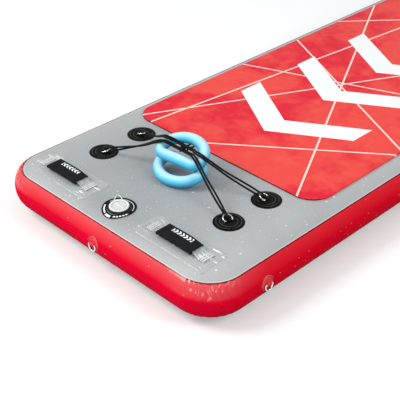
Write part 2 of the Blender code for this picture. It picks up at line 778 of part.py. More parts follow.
def make_deck_rings(rubber, steel):
    """Four rings round the pull grips, each drawn towards its cord's crossing point."""
    for name, (centre, crossing) in deck_ring_places().items():
        heading = math.atan2(crossing[1] - centre[1], crossing[0] - centre[0])
        make_deck_ring(name, centre, heading, rubber, steel)


def deck_ring_places():
    """Patch centre and the point where the cord first crosses the upper grip."""
    found = {}
    for name, side, from_end in (("front_left", -1, RING_FRONT_Y), ("front_right", 1, RING_FRONT_Y),
                                 ("rear_left", -1, RING_REAR_Y), ("rear_right", 1, RING_REAR_Y)):
        found[name] = ((side * RING_X, from_end - HALF_LENGTH), cord_route(name)[0])
    return found


def cord_route(name):
    """A cord's guide points in the mat's own frame."""
    return [Vector((x, from_end - HALF_LENGTH, THICKNESS + above))
            for x, from_end, above in CORD_ROUTES[name]]


def make_rail_rings(looks, steel):
    """One ring at the middle of each end and two along each side."""
    side_y = HALF_LENGTH - RAIL_RING_Y
    for name, x, y, turn in (
            ("front", 0, -HALF_LENGTH, math.pi), ("rear", 0, HALF_LENGTH, 0),
            ("front_right", HALF_WIDTH, -side_y, -math.pi / 2),
            ("rear_right", HALF_WIDTH, side_y, -math.pi / 2),
            ("front_left", -HALF_WIDTH, -side_y, math.pi / 2),
            ("rear_left", -HALF_WIDTH, side_y, math.pi / 2)):
        make_rail_ring(name, (x, y, 0), turn, looks, steel)


def make_rail_ring(name, anchor, turn, looks, steel):
    """A round patch that wraps the rail, its boss, and the ring that hangs from it.

    In the patch's own frame +Y points out of the rail.
    """
    top_reach = RAIL_REACH
    top_rise = MID_HEIGHT + BAND_TOTAL

    def on_rail(across, up, above):
        height = RAIL_RING_HEIGHT + up - MID_HEIGHT
        share = math.sqrt(1 - (height / top_rise) ** 2)
        normal = Vector((0, share / top_reach, height / top_rise ** 2)).normalized()
        return Vector((across, top_reach * share - RAIL_REACH, MID_HEIGHT + height)) \
            + normal * above

    rings = [circle(RAIL_PATCH_RADIUS * share, 14) for share in RAIL_PATCH_SHARES]
    under = [[on_rail(x, z, FIT) for x, z in ring] for ring in rings]
    over = [[on_rail(x, z, FIT + RAIL_PATCH_THICK) for x, z in ring] for ring in rings]
    patch = loops_solid("rail_ring_patch_" + name, under[::-1] + over, looks)
    bar_out = FIT + RAIL_PATCH_THICK + RING_WIRE + TUNNEL_CLEARANCE
    far = bar_out + RING_WIRE + TUNNEL_CLEARANCE + BOSS_SINK
    near = FIT + RAIL_PATCH_THICK / 2
    boss = loops_solid("boss", [
        [(sx * BOSS_HALF_WIDTH, y, RAIL_RING_HEIGHT + z) for y, z in (
            (near, -BOSS_HALF_DEPTH), (far - BOSS_SINK, -BOSS_HALF_DEPTH * RAIL_BOSS_SHARE),
            (far, 0), (far - BOSS_SINK, BOSS_HALF_DEPTH * RAIL_BOSS_SHARE), (near, BOSS_HALF_DEPTH))]
        for sx in (-1, 1)], looks)
    cut(patch, boss, "UNION")
    hole = ring_tunnel(0)
    hole.matrix_world = Matrix.Translation((0, bar_out, RAIL_RING_HEIGHT)) \
        @ Matrix.Rotation(math.pi / 2, 4, "Y")
    bpy.context.view_layer.update()
    cut(patch, hole)
    seat = Matrix.Translation(anchor) @ Matrix.Rotation(turn, 4, "Z")
    place_under(patch, "rail_seat_" + name, seat)
    hang = seat @ Matrix.Translation((0, bar_out, RAIL_RING_HEIGHT)) \
        @ Matrix.Rotation(-math.pi / 2, 4, "X")
    return d_ring("rail_ring_" + name, steel, hang)


# Carry handles


def strap_height(offset):
    """Height of the strap's middle above the base sheet at a distance from its centre."""
    flat = STRAP_HALF_LENGTH - STRAP_TAB
    low = STRAP_THICK / 2 + FIT
    if abs(offset) >= flat:
        return low
    share = min((flat - abs(offset)) / STRAP_RAMP, 1)
    ease = share * share * (3 - 2 * share)
    return low + STRAP_STEP * ease + STRAP_BOW * (1 - (offset / flat) ** 2) * ease


def spaced(start, end, steps):
    return [start + (end - start) * k / steps for k in range(steps + 1)]


def strap_frames(places):
    """Middle points and upward normals along the strap."""
    found = []
    for x in places:
        rise = (strap_height(x + FIT) - strap_height(x - FIT)) / (2 * FIT)
        found.append((x, strap_height(x), Vector((-rise, 0, 1)).normalized()))
    return found


def make_handle(name, side, facing, clear, rubber):
    """A carry handle: clear base sheet, strap over it and a padded grip."""
    cx = side * HANDLE_X
    cy = facing * (HALF_LENGTH - HANDLE_FROM_END)
    make_handle_base("handle_base_" + name, (cx, cy), clear)
    base_top = THICKNESS + FIT + BASE_THICK
    half = STRAP_WIDTH / 2
    under_grip = spaced(-GRIP_HALF_LENGTH, GRIP_HALF_LENGTH, GRIP_STEPS)
    end = spaced(GRIP_HALF_LENGTH, STRAP_HALF_LENGTH, STRAP_END_STEPS)[1:]
    places = [-x for x in end[::-1]] + under_grip + end
    strap = loops_solid("handle_strap_" + name, [
        [Vector((x, -half, z)) - up * STRAP_THICK / 2, Vector((x, half, z)) - up * STRAP_THICK / 2,
         Vector((x, half, z)) + up * STRAP_THICK / 2, Vector((x, -half, z)) + up * STRAP_THICK / 2]
        for x, z, up in strap_frames(places)], clear)
    strap.location = (cx, cy, base_top)
    make_handle_grip("handle_grip_" + name, (cx, cy, base_top), rubber)


def make_handle_base(name, centre, looks):
    """A thin sheet with round corners that follows the deck's curve along Y."""
    cx, cy = centre
    half_x = BASE_LENGTH / 2
    half_y = BASE_WIDTH / 2
    rows = []
    for k in range(3):
        angle = math.pi / 2 * k / 2
        rows.append((-half_y + BASE_CORNER * (1 - math.cos(angle)),
                     half_x - BASE_CORNER * (1 - math.sin(angle))))
    inner = half_y - BASE_CORNER
    steps = 6
    rows += [(-inner + 2 * inner * k / steps, half_x) for k in range(1, steps)]
    rows += [(-y, x) for y, x in rows[2::-1]]
    loops = []
    for y, half in rows:
        height = deck_height(cx, cy + y)
        up = deck_slope(cx, cy + y)
        under = up * FIT
        over = up * (FIT + BASE_THICK)
        loops.append([Vector((cx + x, cy + y, height)) + above for x, above in
                      ((-half, under), (half, under), (half, over), (-half, over))])
    return loops_solid(name, loops, looks)


def flat_section(half_wide, half_thick, shares):
    """A flat outline whose four corners are cut alike."""
    corner = [(half_wide * across, half_thick * up) for across, up in shares]
    upper = corner + [(-y, z) for y, z in corner[::-1]]
    return upper + [(-y, -z) for y, z in upper]


def make_handle_grip(name, place, looks):
    """A padded sleeve with a slot that the strap runs through."""
    outer = flat_section(GRIP_WIDTH / 2, GRIP_THICK / 2, GRIP_CORNER_SHARES)
    inner = flat_section(STRAP_WIDTH / 2 + GRIP_SLOT_CLEARANCE,
                         STRAP_THICK / 2 + GRIP_SLOT_CLEARANCE, SLOT_CORNER_SHARES)
    frames = strap_frames(spaced(-GRIP_HALF_LENGTH, GRIP_HALF_LENGTH, GRIP_STEPS))

    def section(shape, frame):
        x, z, up = frame
        return [Vector((x, y, z)) + up * high for y, high in shape]

    loops = [section(outer, frame) for frame in frames]
    loops += [section(inner, frame) for frame in frames[::-1]]
    grip = loops_solid(name, loops, looks, closed=True)
    grip.location = place
    return grip


# Pull grips, cords and knot


def grip_path(matrix):
    path = d_outline(PULL_BAR, PULL_CORNER, PULL_ARC, 4, 16, 3)
    return [matrix @ Vector((x, y, 0)) for x, y in path]


def turned_grip(x, y, yaw, roll, tilt, facing):
    """Frame of a pull grip: its bar on local X, its arc towards facing."""
    return Matrix.Translation((x, y - HALF_LENGTH, 0)) \
        @ Matrix.Rotation(math.radians(yaw) + (math.pi if facing < 0 else 0), 4, "Z") \
        @ Matrix.Rotation(math.radians(roll) * facing * -1, 4, "Y") \
        @ Matrix.Rotation(math.radians(tilt) * facing, 4, "X")


def lowered(path, height):
    low = min(point.z for point in path)
    return [point + Vector((0, 0, height - low)) for point in path]


def line_gap(point, line, closed=True):
    """Distance from a point to a line."""
    least = math.inf
    for start, end in zip(line, line[1:] + (line[:1] if closed else [])):
        along = end - start
        share = max(0, min(1, (point - start).dot(along) / along.length_squared))
        least = min(least, (point - start - along * share).length)
    return least


def lifted(point, lines, clear):
    """Raise a point straight up until it lies clear of every line."""
    raised = point.copy()
    while min(line_gap(raised, line) for line in lines) < clear:
        raised.z += FIT
    return raised


def rested(path, others, gap):
    """Lower a path straight down until it lies gap away from the others."""
    start = [point + Vector((0, 0, THICKNESS)) for point in path]

    def nearest(drop):
        return min(line_gap(point - Vector((0, 0, drop)), others) for point in start)

    low, high = 0.0, 0.0
    step = gap / 8
    while nearest(high) > gap and high < 2 * THICKNESS:
        low = high
        high += step
    for _ in range(20):
        middle = (low + high) / 2
        if nearest(middle) > gap:
            low = middle
        else:
            high = middle
    return [point - Vector((0, 0, low)) for point in start]


def make_pull_grips(looks):
    """The lower grip leans on the deck and the upper one lies on it."""
    lower = grip_path(turned_grip(LOWER_GRIP_X, LOWER_GRIP_Y, LOWER_GRIP_YAW_DEG,
                                  LOWER_GRIP_ROLL_DEG, LOWER_GRIP_TILT_DEG, -1))
    lower = lowered(lower, THICKNESS + PULL_TUBE + FIT)
    upper = grip_path(turned_grip(UPPER_GRIP_X, UPPER_GRIP_Y, UPPER_GRIP_YAW_DEG,
                                  UPPER_GRIP_ROLL_DEG, UPPER_GRIP_TILT_DEG, 1))
    upper = lowered(upper, THICKNESS + PULL_TUBE)
    upper = rested(upper, lower, 2 * PULL_TUBE + FIT)
    tube("pull_grip_lower", lower, PULL_TUBE, looks, 10, loop=True)
    tube("pull_grip_upper", upper, PULL_TUBE, looks, 10, loop=True)
    return lower, upper


def knot_path():
    """An overhand knot with its two tails, as one open line."""
    centre = Vector((KNOT_X, KNOT_FROM_END - HALF_LENGTH, THICKNESS + KNOT_LIFT))

    def settle(across, along, up):
        return centre + Vector((KNOT_SPREAD * across, KNOT_SPREAD * along, KNOT_HEIGHT * up))

    found = [settle(*shares) for shares in FIRST_TAIL_SHARES]
    turns = 28
    first, last = KNOT_SPAN_SHARES
    for k in range(turns + 1):
        t = math.pi * (first + (last - first) * k / turns)
        found.append(settle(math.sin(t) + 2 * math.sin(2 * t),
                            math.cos(t) - 2 * math.cos(2 * t), -math.sin(3 * t)))
    return found + [settle(*shares) for shares in LAST_TAIL_SHARES]


def end_gap(strand, line):
    """Least distance from a strand's round end face to an open line."""
    ahead = (strand[-1] - strand[-2]).normalized()
    side = ahead.orthogonal().normalized()
    other = ahead.cross(side)
    rim = [strand[-1] + side * x + other * y for x, y in circle(CORD / 2, 12)]
    return min(line_gap(point, line, closed=False) for point in rim + [strand[-1]])


def seated(strand, line):
    """Follow a strand until its end face rests against a line."""
    kept = strand[:2]
    for point in strand[2:]:
        start = kept[-1]
        steps = math.ceil((point - start).length / FIT)
        for k in range(1, steps + 1):
            reached = start.lerp(point, k / steps)
            if line_gap(reached, line, closed=False) < 2 * CORD \
                    and end_gap(kept + [reached], line) < CORD / 2 + FIT:
                return kept + [start.lerp(point, (k - 1) / steps)] if k > 1 else kept
        kept = kept + [point]
    return kept


def cord_strands(name, wire_centre, grips, knot):
    """One doubled cord: out along one strand, round the ring's wire and back."""
    clear = PULL_TUBE + CORD / 2 + CORD_CLEARANCE
    route = [lifted(point, grips, clear) for point in cord_route(name)]
    bend = RING_WIRE + BIGHT_GAP + CORD / 2
    above = Vector((0, 0, 1))
    outward = (route[0] - wire_centre).normalized()
    up = outward.cross(above).cross(outward).normalized()
    middle = spline_points([wire_centre + outward * bend * BIGHT_LEAD_SHARE] + route,
                           STRAND_POINTS)
    strands = ([], [])
    for k, point in enumerate(middle):
        share = min(2 * k / (STRAND_POINTS - 1), 1)
        here = middle[min(k + 2, STRAND_POINTS - 1)] - middle[max(k - 2, 0)]
        flat = here.cross(above).normalized()
        angle = math.pi / 2 * share
        half = bend + (CORD_PITCH / 2 - bend) * share
        offset = (flat.cross(here).normalized() * math.cos(angle) + flat * math.sin(angle)) * half
        strands[0].append(lifted(point + offset, grips, clear))
        strands[1].append(lifted(point - offset, grips, clear))
    bight = []
    for k in range(5):
        angle = math.pi / 2 - math.pi * k / 4
        bight.append(wire_centre + up * bend * math.sin(angle) - outward * bend * math.cos(angle))
    return seated(strands[0], knot)[::-1] + bight + seated(strands[1], knot)


def cord_tube(name, points, looks):
    """A cord as a round curve with closed ends."""
    line = bpy.data.curves.new(name, "CURVE")
    line.dimensions = "3D"
    line.bevel_depth = CORD / 2
    line.bevel_resolution = 2
    line.use_fill_caps = True
    line.materials.append(looks)
    spline = line.splines.new("POLY")
    spline.points.add(len(points) - 1)
    for spot, point in zip(spline.points, points):
        spot.co = (point.x, point.y, point.z, 1)
    cord = bpy.data.objects.new(name, line)
    bpy.context.collection.objects.link(cord)
    return cord


def ring_tips():
    """The middle of each deck ring's far side, where its cord goes round."""
    found = {}
    reach = RING_CORNER + RING_ARC
    tilt = math.radians(DECK_RING_TILT_DEG)
    for name, (centre, crossing) in deck_ring_places().items():
        heading = Vector((crossing[0] - centre[0], crossing[1] - centre[1], 0)).normalized()
        bar = Vector((centre[0], centre[1], THICKNESS + FIT + deck_ring_height()))
        found[name] = bar + heading * reach * math.cos(tilt) \
            + Vector((0, 0, reach * math.sin(tilt)))
    return found


def make_cords(grips, looks):
    """Four doubled elastic cords and the knot where they meet."""
    knot = knot_path()
    for name, tip in ring_tips().items():
        cord_tube("elastic_cord_" + name, cord_strands(name, tip, grips, knot), looks)
    cord_tube("cord_knot", knot, looks)


def main():
    clear_scene()
    rubber = material("black_rubber", RUBBER_BLACK)
    black = material("black_plastic", VALVE_BLACK)
    red = material("red_pvc", RAIL_RED)
    grey = material("grey_pvc", DECK_GREY)
    foam = material("red_foam", PAD_RED)
    white = material("white_plastic", VALVE_WHITE)
    steel = material("stainless_steel", STEEL)
    blue = material("blue_grip", GRIP_BLUE)
    clear = material("clear_pvc", CLEAR_PVC)
    woven = material("woven_panel", WOVEN_WHITE)

    valve_frame = valve_seat_frame()
    make_panel(woven, valve_frame)
    make_inner_wall(woven)
    make_deck_skin(grey, valve_frame)
    make_skin("bottom_skin", grey, -1)
    make_rail_band(red)
    make_pad(foam)
    make_label(black)
    make_valve(valve_frame, white, black, rubber, steel)
    make_deck_rings(rubber, steel)
    make_rail_rings(red, steel)
    for end, end_name in ((-1, "front"), (1, "rear")):
        for side, side_name in ((-1, "left"), (1, "right")):
            make_handle(end_name + "_" + side_name, side, end, clear, rubber)
    make_cords(make_pull_grips(blue), rubber)


main()
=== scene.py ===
# %% [markdown]
# A floating fitness mat, dressed for its picture
#
# The real thing is a drop-stitch hull: two coated faces held level by thousands of
# threads, closed by a red band round the rail. On its deck lie a foam pad, a screw
# valve, carry handles, D-rings, and two soft pull grips on elastic cords.
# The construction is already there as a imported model, which is the fixed frame of
# this lesson. Everything below gives that frame its finished surfaces.

# %% Load the frame
import functools
import json
import math

import bmesh
import bpy
import numpy as np
from mathutils import Matrix, Vector


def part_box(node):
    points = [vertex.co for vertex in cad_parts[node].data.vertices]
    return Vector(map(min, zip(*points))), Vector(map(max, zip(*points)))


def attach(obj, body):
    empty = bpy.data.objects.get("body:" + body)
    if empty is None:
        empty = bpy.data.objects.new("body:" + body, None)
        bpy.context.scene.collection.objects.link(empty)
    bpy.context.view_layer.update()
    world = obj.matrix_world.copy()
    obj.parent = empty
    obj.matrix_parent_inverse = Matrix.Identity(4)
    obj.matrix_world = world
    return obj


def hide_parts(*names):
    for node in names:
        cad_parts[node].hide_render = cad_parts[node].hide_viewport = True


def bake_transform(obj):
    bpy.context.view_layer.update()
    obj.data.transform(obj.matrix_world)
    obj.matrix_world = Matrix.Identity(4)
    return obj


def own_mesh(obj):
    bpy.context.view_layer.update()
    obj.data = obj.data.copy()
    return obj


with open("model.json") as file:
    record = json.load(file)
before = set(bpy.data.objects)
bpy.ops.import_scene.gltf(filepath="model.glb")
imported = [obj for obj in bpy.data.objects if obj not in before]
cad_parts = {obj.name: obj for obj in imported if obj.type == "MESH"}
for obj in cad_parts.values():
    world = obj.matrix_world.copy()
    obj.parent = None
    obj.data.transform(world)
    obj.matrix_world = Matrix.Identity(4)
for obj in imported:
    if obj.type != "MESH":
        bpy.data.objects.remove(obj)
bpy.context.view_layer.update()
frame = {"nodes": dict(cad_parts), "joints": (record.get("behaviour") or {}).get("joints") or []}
joints = {joint["name"]: joint for joint in frame["joints"]}

# %% [markdown]
# The camera comes first, because every later choice is judged through it.
# It stands to the right of the mat's valve end and looks down at the deck with a
# long lens, so that parallel edges stay nearly parallel.

# %% Camera
camera_place = Vector((1.6817, -2.4589, 1.6030))
camera_azimuth = math.radians(45.206)
camera_elevation = math.radians(33.596)
camera_data = bpy.data.cameras.new("camera")
camera_data.lens = 85.0
camera_data.sensor_width = 36.0
camera = bpy.data.objects.new("camera", camera_data)
bpy.context.collection.objects.link(camera)
backwards = Vector((math.sin(camera_azimuth) * math.cos(camera_elevation),
                    -math.cos(camera_azimuth) * math.cos(camera_elevation),
                    math.sin(camera_elevation)))
camera.location = camera_place
camera.rotation_mode = "QUATERNION"
camera.rotation_quaternion = (-backwards).to_track_quat("-Z", "Y")
bpy.context.scene.camera = camera
bpy.context.scene.view_settings.view_transform = "Standard"
print("camera stands", round(camera_place.length, 2), "m from the hull's middle")

# %% [markdown]
# The hull's surface carries everything else, so its shape is needed as a formula.
# In plan it is a rectangle with round corners. Its rail is half an ellipse, and
# `deck_height` gives the height of the skin over any point of the plan. Sizes that
# the frame shows are read from it, and the others are the hull's own values.

# %% The hull as a formula
fit = 0.0003
upward = Vector((0, 0, 1))
half_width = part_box("rail_band")[1].x
half_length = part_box("rail_band")[1].y
deck_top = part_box("deck_skin")[1].z
mid_height = deck_top / 2
corner_radius = 0.130
rail_reach = 0.090
seam_angle = 46.5
skin_thick = 0.0012
band_thick = 0.0012
lap_gap = 0.0005
band_total = band_thick + lap_gap


def inset_of(x, y):
    """How far a plan point lies inside the hull's outer edge."""
    core_x = max(abs(x) - (half_width - corner_radius), 0)
    core_y = max(abs(y) - (half_length - corner_radius), 0)
    if core_x and core_y:
        return corner_radius - math.hypot(core_x, core_y)
    return min(half_width - abs(x), half_length - abs(y))


def deck_height(x, y):
    inset = inset_of(x, y)
    if inset >= rail_reach:
        return deck_top
    across = (rail_reach - inset) / (rail_reach - band_total)
    return mid_height + mid_height * math.sqrt(max(1 - across ** 2, 0))


def on_deck(x, y, above):
    """A point over the plan, set off the skin along its own outward direction."""
    dx = (deck_height(x + fit, y) - deck_height(x - fit, y)) / (2 * fit)
    dy = (deck_height(x, y + fit) - deck_height(x, y - fit)) / (2 * fit)
    return Vector((x, y, deck_height(x, y))) + Vector((-dx, -dy, 1)).normalized() * above


def hinge(joint):
    """A joint's place and its direction."""
    return Vector(joints[joint]["pos_m"]), Vector(joints[joint]["axis"]).normalized()


def placed(spot, x_axis, y_axis):
    """The matrix that stands a shape on a spot, along two axes of its own."""
    axes = Matrix((x_axis, y_axis, x_axis.cross(y_axis))).transposed()
    return Matrix.Translation(spot) @ axes.to_4x4()


print("hull:", [round(size, 3) for size in (2 * half_width, 2 * half_length, deck_top)], "m")

# %% [markdown]
# Nearly every piece here is a skin pulled over rows of points: a tube is a circle
# carried along a line, a turned part is one circle for each point of its profile,
# and the hull is a rounded rectangle that grows and shrinks. One function makes the
# mesh from such rows. It also lays a UV map on it, with metres along the rows and
# turns across them, so that a braid can follow a cord later.

# %% Skin over rows of points


def link_mesh(name, bm, looks, sharp=40):
    mesh = bpy.data.meshes.new(name)
    bm.to_mesh(mesh)
    bm.free()
    mesh.shade_smooth()
    mesh.set_sharp_from_angle(angle=math.radians(sharp))
    mesh.materials.append(looks)
    piece = bpy.data.objects.new(name, mesh)
    bpy.context.collection.objects.link(piece)
    return piece


def add_rows(bm, rows, closed):
    """Add one skin to a bmesh; each row is a closed loop with the same count."""
    layer = bm.loops.layers.uv.verify()
    count = len(rows[0])
    verts = [[bm.verts.new(point) for point in row] for row in rows]
    along = [0.0]
    for before, after in zip(rows, rows[1:] + rows[:1]):
        along.append(along[-1] + (Vector(after[0]) - Vector(before[0])).length)
    for lower in range(len(rows) if closed else len(rows) - 1):
        upper = (lower + 1) % len(rows)
        low, top = along[lower], along[lower + 1]
        for here in range(count):
            after = (here + 1) % count
            face = bm.faces.new((verts[lower][here], verts[lower][after],
                                 verts[upper][after], verts[upper][here]))
            spots = ((low, here), (low, here + 1), (top, here + 1), (top, here))
            for corner, (length, column) in zip(face.loops, spots):
                corner[layer].uv = (length, column / count)
    if not closed:
        bm.faces.new(verts[0])
        bm.faces.new(verts[-1])


def skin(name, rows, looks, closed=False, sharp=40, open_skins=()):
    """A piece of one skin, and of open skins with capped ends beside it."""
    bm = bmesh.new()
    for open_rows in open_skins:
        add_rows(bm, open_rows, False)
    add_rows(bm, rows, closed)
    bmesh.ops.recalc_face_normals(bm, faces=bm.faces)
    return link_mesh(name, bm, looks, sharp)


def settle(piece, body, slot, *nodes):
    """Let a piece ride on a body and stand for nodes; its slot is not used."""
    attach(piece, body)
    if nodes:
        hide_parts(*nodes)


def millimetres(*pairs):
    """A profile's (radius, height) points, written in millimetres."""
    return [(radius / 1000, height / 1000) for radius, height in pairs]


def circle(radius, steps):
    return [(radius * math.cos(2 * math.pi * k / steps),
             radius * math.sin(2 * math.pi * k / steps)) for k in range(steps)]


def turned_rows(profile, steps, place):
    """Rows for a profile of (radius, height) points turned round local Z."""
    return [[place @ Vector((x, y, height)) for x, y in circle(radius, steps)]
            for radius, height in profile]


def tube_rows(line, radius, sides, loop=False):
    """Rows for a round tube, each section square to the line and none twisted."""
    count = len(line)
    ahead = []
    for here in range(count):
        before = line[here - 1] if loop or here else line[here]
        after = line[(here + 1) % count] if loop or here + 1 < count else line[here]
        ahead.append((after - before).normalized())
    side = ahead[0].orthogonal().normalized()
    first = side
    sides_along = []
    for here in range(count):
        side = (side - ahead[here] * side.dot(ahead[here])).normalized()
        sides_along.append(side)
    drift = 0.0
    if loop:
        last = (side - ahead[0] * side.dot(ahead[0])).normalized()
        drift = math.atan2(first.cross(last).dot(ahead[0]), first.dot(last))
    rows = []
    for here in range(count):
        turn = Matrix.Rotation(-drift * here / count, 3, ahead[here])
        across = turn @ sides_along[here]
        other = ahead[here].cross(across)
        rows.append([line[here] + across * x + other * y for x, y in circle(radius, sides)])
    return rows


def steps_of(line):
    return [(after - before).length for before, after in zip(line, line[1:])]


def spline(guide, count, fine=24):
    """Evenly spaced points on a smooth curve through the guide's own points."""
    path = [Vector(point) for point in guide]
    ends = [path[0] * 2 - path[1]] + path + [path[-1] * 2 - path[-2]]
    dense = []
    for a, b, c, d in zip(ends, ends[1:], ends[2:], ends[3:]):
        for step in range(fine):
            t = step / fine
            dense.append(0.5 * ((2 * b) + (c - a) * t + (2 * a - 5 * b + 4 * c - d) * t ** 2
                                + (3 * b - a - 3 * c + d) * t ** 3))
    dense.append(path[-1])
    run = np.cumsum([0.0] + steps_of(dense))
    wanted = np.linspace(0, run[-1], count)
    axes = [np.interp(wanted, run, [point[k] for point in dense]) for k in range(3)]
    return [Vector(point) for point in zip(*axes)]


# %% [markdown]
# Finishes are written as sums. `Value` wraps a socket and turns +, -, * and / into
# Math nodes, so a mask reads as it would on paper. `Finish` owns one material, and
# its `node` method makes any other node from its type, settings and inputs.

# %% Shader maths as expressions


class Value:
    """A socket's number inside a finish."""

    def __init__(self, finish, socket):
        self.finish = finish
        self.socket = socket

    def maths(self, operation, *others):
        return self.finish.maths(operation, self, *others)

    def __add__(self, other):
        return self.maths("ADD", other)

    def __sub__(self, other):
        return self.maths("SUBTRACT", other)

    def __rsub__(self, other):
        return self.finish.maths("SUBTRACT", other, self)

    def __mul__(self, other):
        return self.maths("MULTIPLY", other)

    def __truediv__(self, other):
        return self.maths("DIVIDE", other)

    def __abs__(self):
        return self.maths("ABSOLUTE")

    __radd__ = __add__
    __rmul__ = __mul__

    def clamped(self):
        return Value(self.finish, self.finish.node("ShaderNodeClamp", {}, {0: self}).outputs[0])

    def below(self, edge, soft):
        """1 where the number is under the edge, falling to 0 over a soft step."""
        return ((edge - self) / soft + 0.5).clamped()

    def above(self, edge, soft):
        return ((self - edge) / soft + 0.5).clamped()


def greatest(masks):
    """The highest of several masks at each point."""
    return functools.reduce(lambda found, mask: found.maths("MAXIMUM", mask), masks)


class Finish:
    """One material with its Principled shader."""

    def __init__(self, name, colour, roughness, **constants):
        self.material = bpy.data.materials.new(name)
        self.material.use_nodes = True
        self.tree = self.material.node_tree
        self.shader = self.tree.nodes["Principled BSDF"]
        self.feed(self.shader.inputs["Base Color"], (*colour, 1))
        self.feed(self.shader.inputs["Roughness"], roughness)
        for socket, value in constants.items():
            title = socket.replace("_", " ").title().replace("Ior", "IOR")
            self.feed(self.shader.inputs[title], value)
        self.material.diffuse_color = (*colour, 1)

    def feed(self, socket, value):
        if isinstance(value, Value):
            self.tree.links.new(value.socket, socket)
        elif isinstance(value, bpy.types.NodeSocket):
            self.tree.links.new(value, socket)
        else:
            socket.default_value = value

    def node(self, kind, settings=(), inputs=()):
        made = self.tree.nodes.new(kind)
        for key, value in dict(settings).items():
            setattr(made, key, value)
        for key, value in dict(inputs).items():
            self.feed(made.inputs[key], value)
        return made

    def maths(self, operation, *values):
        made = self.node("ShaderNodeMath", {"operation": operation}, enumerate(values))
        return Value(self, made.outputs[0])

    def places(self):
        """X, Y and Z of the piece's own space, which is the frame at rest."""
        spot = self.node("ShaderNodeTexCoord").outputs["Object"]
        parts = self.node("ShaderNodeSeparateXYZ", {}, {0: spot}).outputs
        return [Value(self, part) for part in parts]

    def along_rows(self):
        """Metres along a skin's rows and turns across them, as its UV map holds them."""
        spot = self.node("ShaderNodeTexCoord").outputs["UV"]
        parts = self.node("ShaderNodeSeparateXYZ", {}, {0: spot}).outputs
        return Value(self, parts[0]), Value(self, parts[1])

    def noise(self, scale, detail=2.0, roughness=0.5, stretch=None):
        spot = self.node("ShaderNodeTexCoord").outputs["Object"]
        if stretch:
            spot = self.node("ShaderNodeVectorMath", {"operation": "MULTIPLY"},
                             {0: spot, 1: stretch}).outputs[0]
        made = self.node("ShaderNodeTexNoise", {}, {
            "Vector": spot, "Scale": scale, "Detail": detail, "Roughness": roughness})
        return Value(self, made.outputs["Fac"])

    def mix(self, share, first, second):
        colours = [(*c, 1) if isinstance(c, tuple) else c for c in (first, second)]
        return self.node("ShaderNodeMix", {"data_type": "RGBA"},
                         {0: share, 6: colours[0], 7: colours[1]}).outputs[2]

    def paint(self, colour):
        self.feed(self.shader.inputs["Base Color"], colour)

    def roughen(self, value):
        self.feed(self.shader.inputs["Roughness"], value)

    def bump(self, height, distance, strength=1.0):
        made = self.node("ShaderNodeBump", {}, {
            "Height": height, "Distance": distance, "Strength": strength})
        self.feed(self.shader.inputs["Normal"], made.outputs[0])


# %% [markdown]
# Coated cloth first. The red band is smooth. Its colour carries painted light: a painted
# sky reflection pales its upper part, painted shade deepens its foot, and its ends are
# painted brighter than its long sides. A dark weld line with a fine light edge runs along
# the seam. The grey deck is finer grained, and painted shade darkens its middle among
# random clouds of tone. Drops of water lie on both: each is a real bump with a gloss,
# and its pale colour is a painted glint. A Voronoi texture gives the drops: each cell
# has one centre, and a random number per cell decides whether a drop lies there and how
# large it is.

# %% Coated cloth
# Heights on the rail: the top of its foot's painted shade, the start of its shoulder's painted sky
# reflection, the weld and the deck's light edge
foot_shade_height, sky_sheen_height, weld_height, edge_height = 0.024, 0.108, 0.1284, 0.1312
seam_soft = 0.0006
# How far from each end the band's red is painted brighter, as painted light, and how softly that
# fades
end_inset, end_fade = 0.120, 0.20
# Where water stays on the band: from each side, from each end, and its height
damp_from_side, damp_from_end, damp_height, damp_fade = 0.150, 0.090, 0.096, 0.08
pressed_pitch = 0.0046


def red_tone(finish):
    """The band's red at any height of the rail, with painted light: brighter round the ends, a
    painted sky reflection on the shoulder and painted shade at the foot.
    """
    y, z = finish.places()[1:]
    clouds = finish.noise(5.0, 3.0)
    # Painted light: the ends are painted brighter and the long sides darker, as the lamps light them.
    end = abs(y).above(half_length - end_inset, end_fade)
    tone = finish.mix(end, (0.720, 0.0004, 0.014), (0.890, 0.0008, 0.032))
    tone = finish.mix(clouds.above(0.55, 0.35) * 0.6, tone, (0.680, 0.0004, 0.015))
    # Painted reflection: the shoulder is painted paler, as if it mirrored the sky, most at the ends.
    shoulder = z.above(sky_sheen_height, 0.036) * (0.20 + end * 0.60)
    tone = finish.mix(shoulder, tone, (0.760, 0.100, 0.105))
    # Painted shade: the foot is painted darker where it faces down, least at the ends.
    return finish.mix(z.below(foot_shade_height, 0.050) * (0.60 - end * 0.45), tone, (0.380, 0.0005, 0.009))


def red_pvc():
    finish = Finish("red_pvc", (0.82, 0.001, 0.022), 0.34, specular_ior_level=0.0,
                    coat_roughness=0.12)
    x, y, z = finish.places()
    damp = (abs(x).above(half_width - damp_from_side, damp_fade)
            * abs(y).above(half_length - damp_from_end, damp_fade) * z.above(damp_height, 0.016))
    notches = finish.noise(330.0)
    weld = z.above(weld_height, seam_soft) * (0.60 + notches.above(0.52, 0.08) * 0.40)
    # Water drops: their bump and gloss are real, and their pale colour is a painted glint.
    wet_specks_and_glints = drops(finish, 60.0, 0.02, 0.80)
    tone = finish.mix(wet_specks_and_glints * 0.35, red_tone(finish), (0.95, 0.55, 0.55))
    finish.paint(finish.mix(weld, tone, (0.085, 0.002, 0.006)))
    finish.roughen(0.26 + finish.noise(38.0, 3.0) * 0.18)
    finish.feed(finish.shader.inputs["Coat Weight"], 0.04 + damp * 0.90 + wet_specks_and_glints * 0.5)
    grain = finish.noise(1300.0)
    soft = finish.noise(26.0, 3.0)
    finish.bump(grain * 0.12 + soft + wet_specks_and_glints, 0.0012, 0.45)
    return finish.material


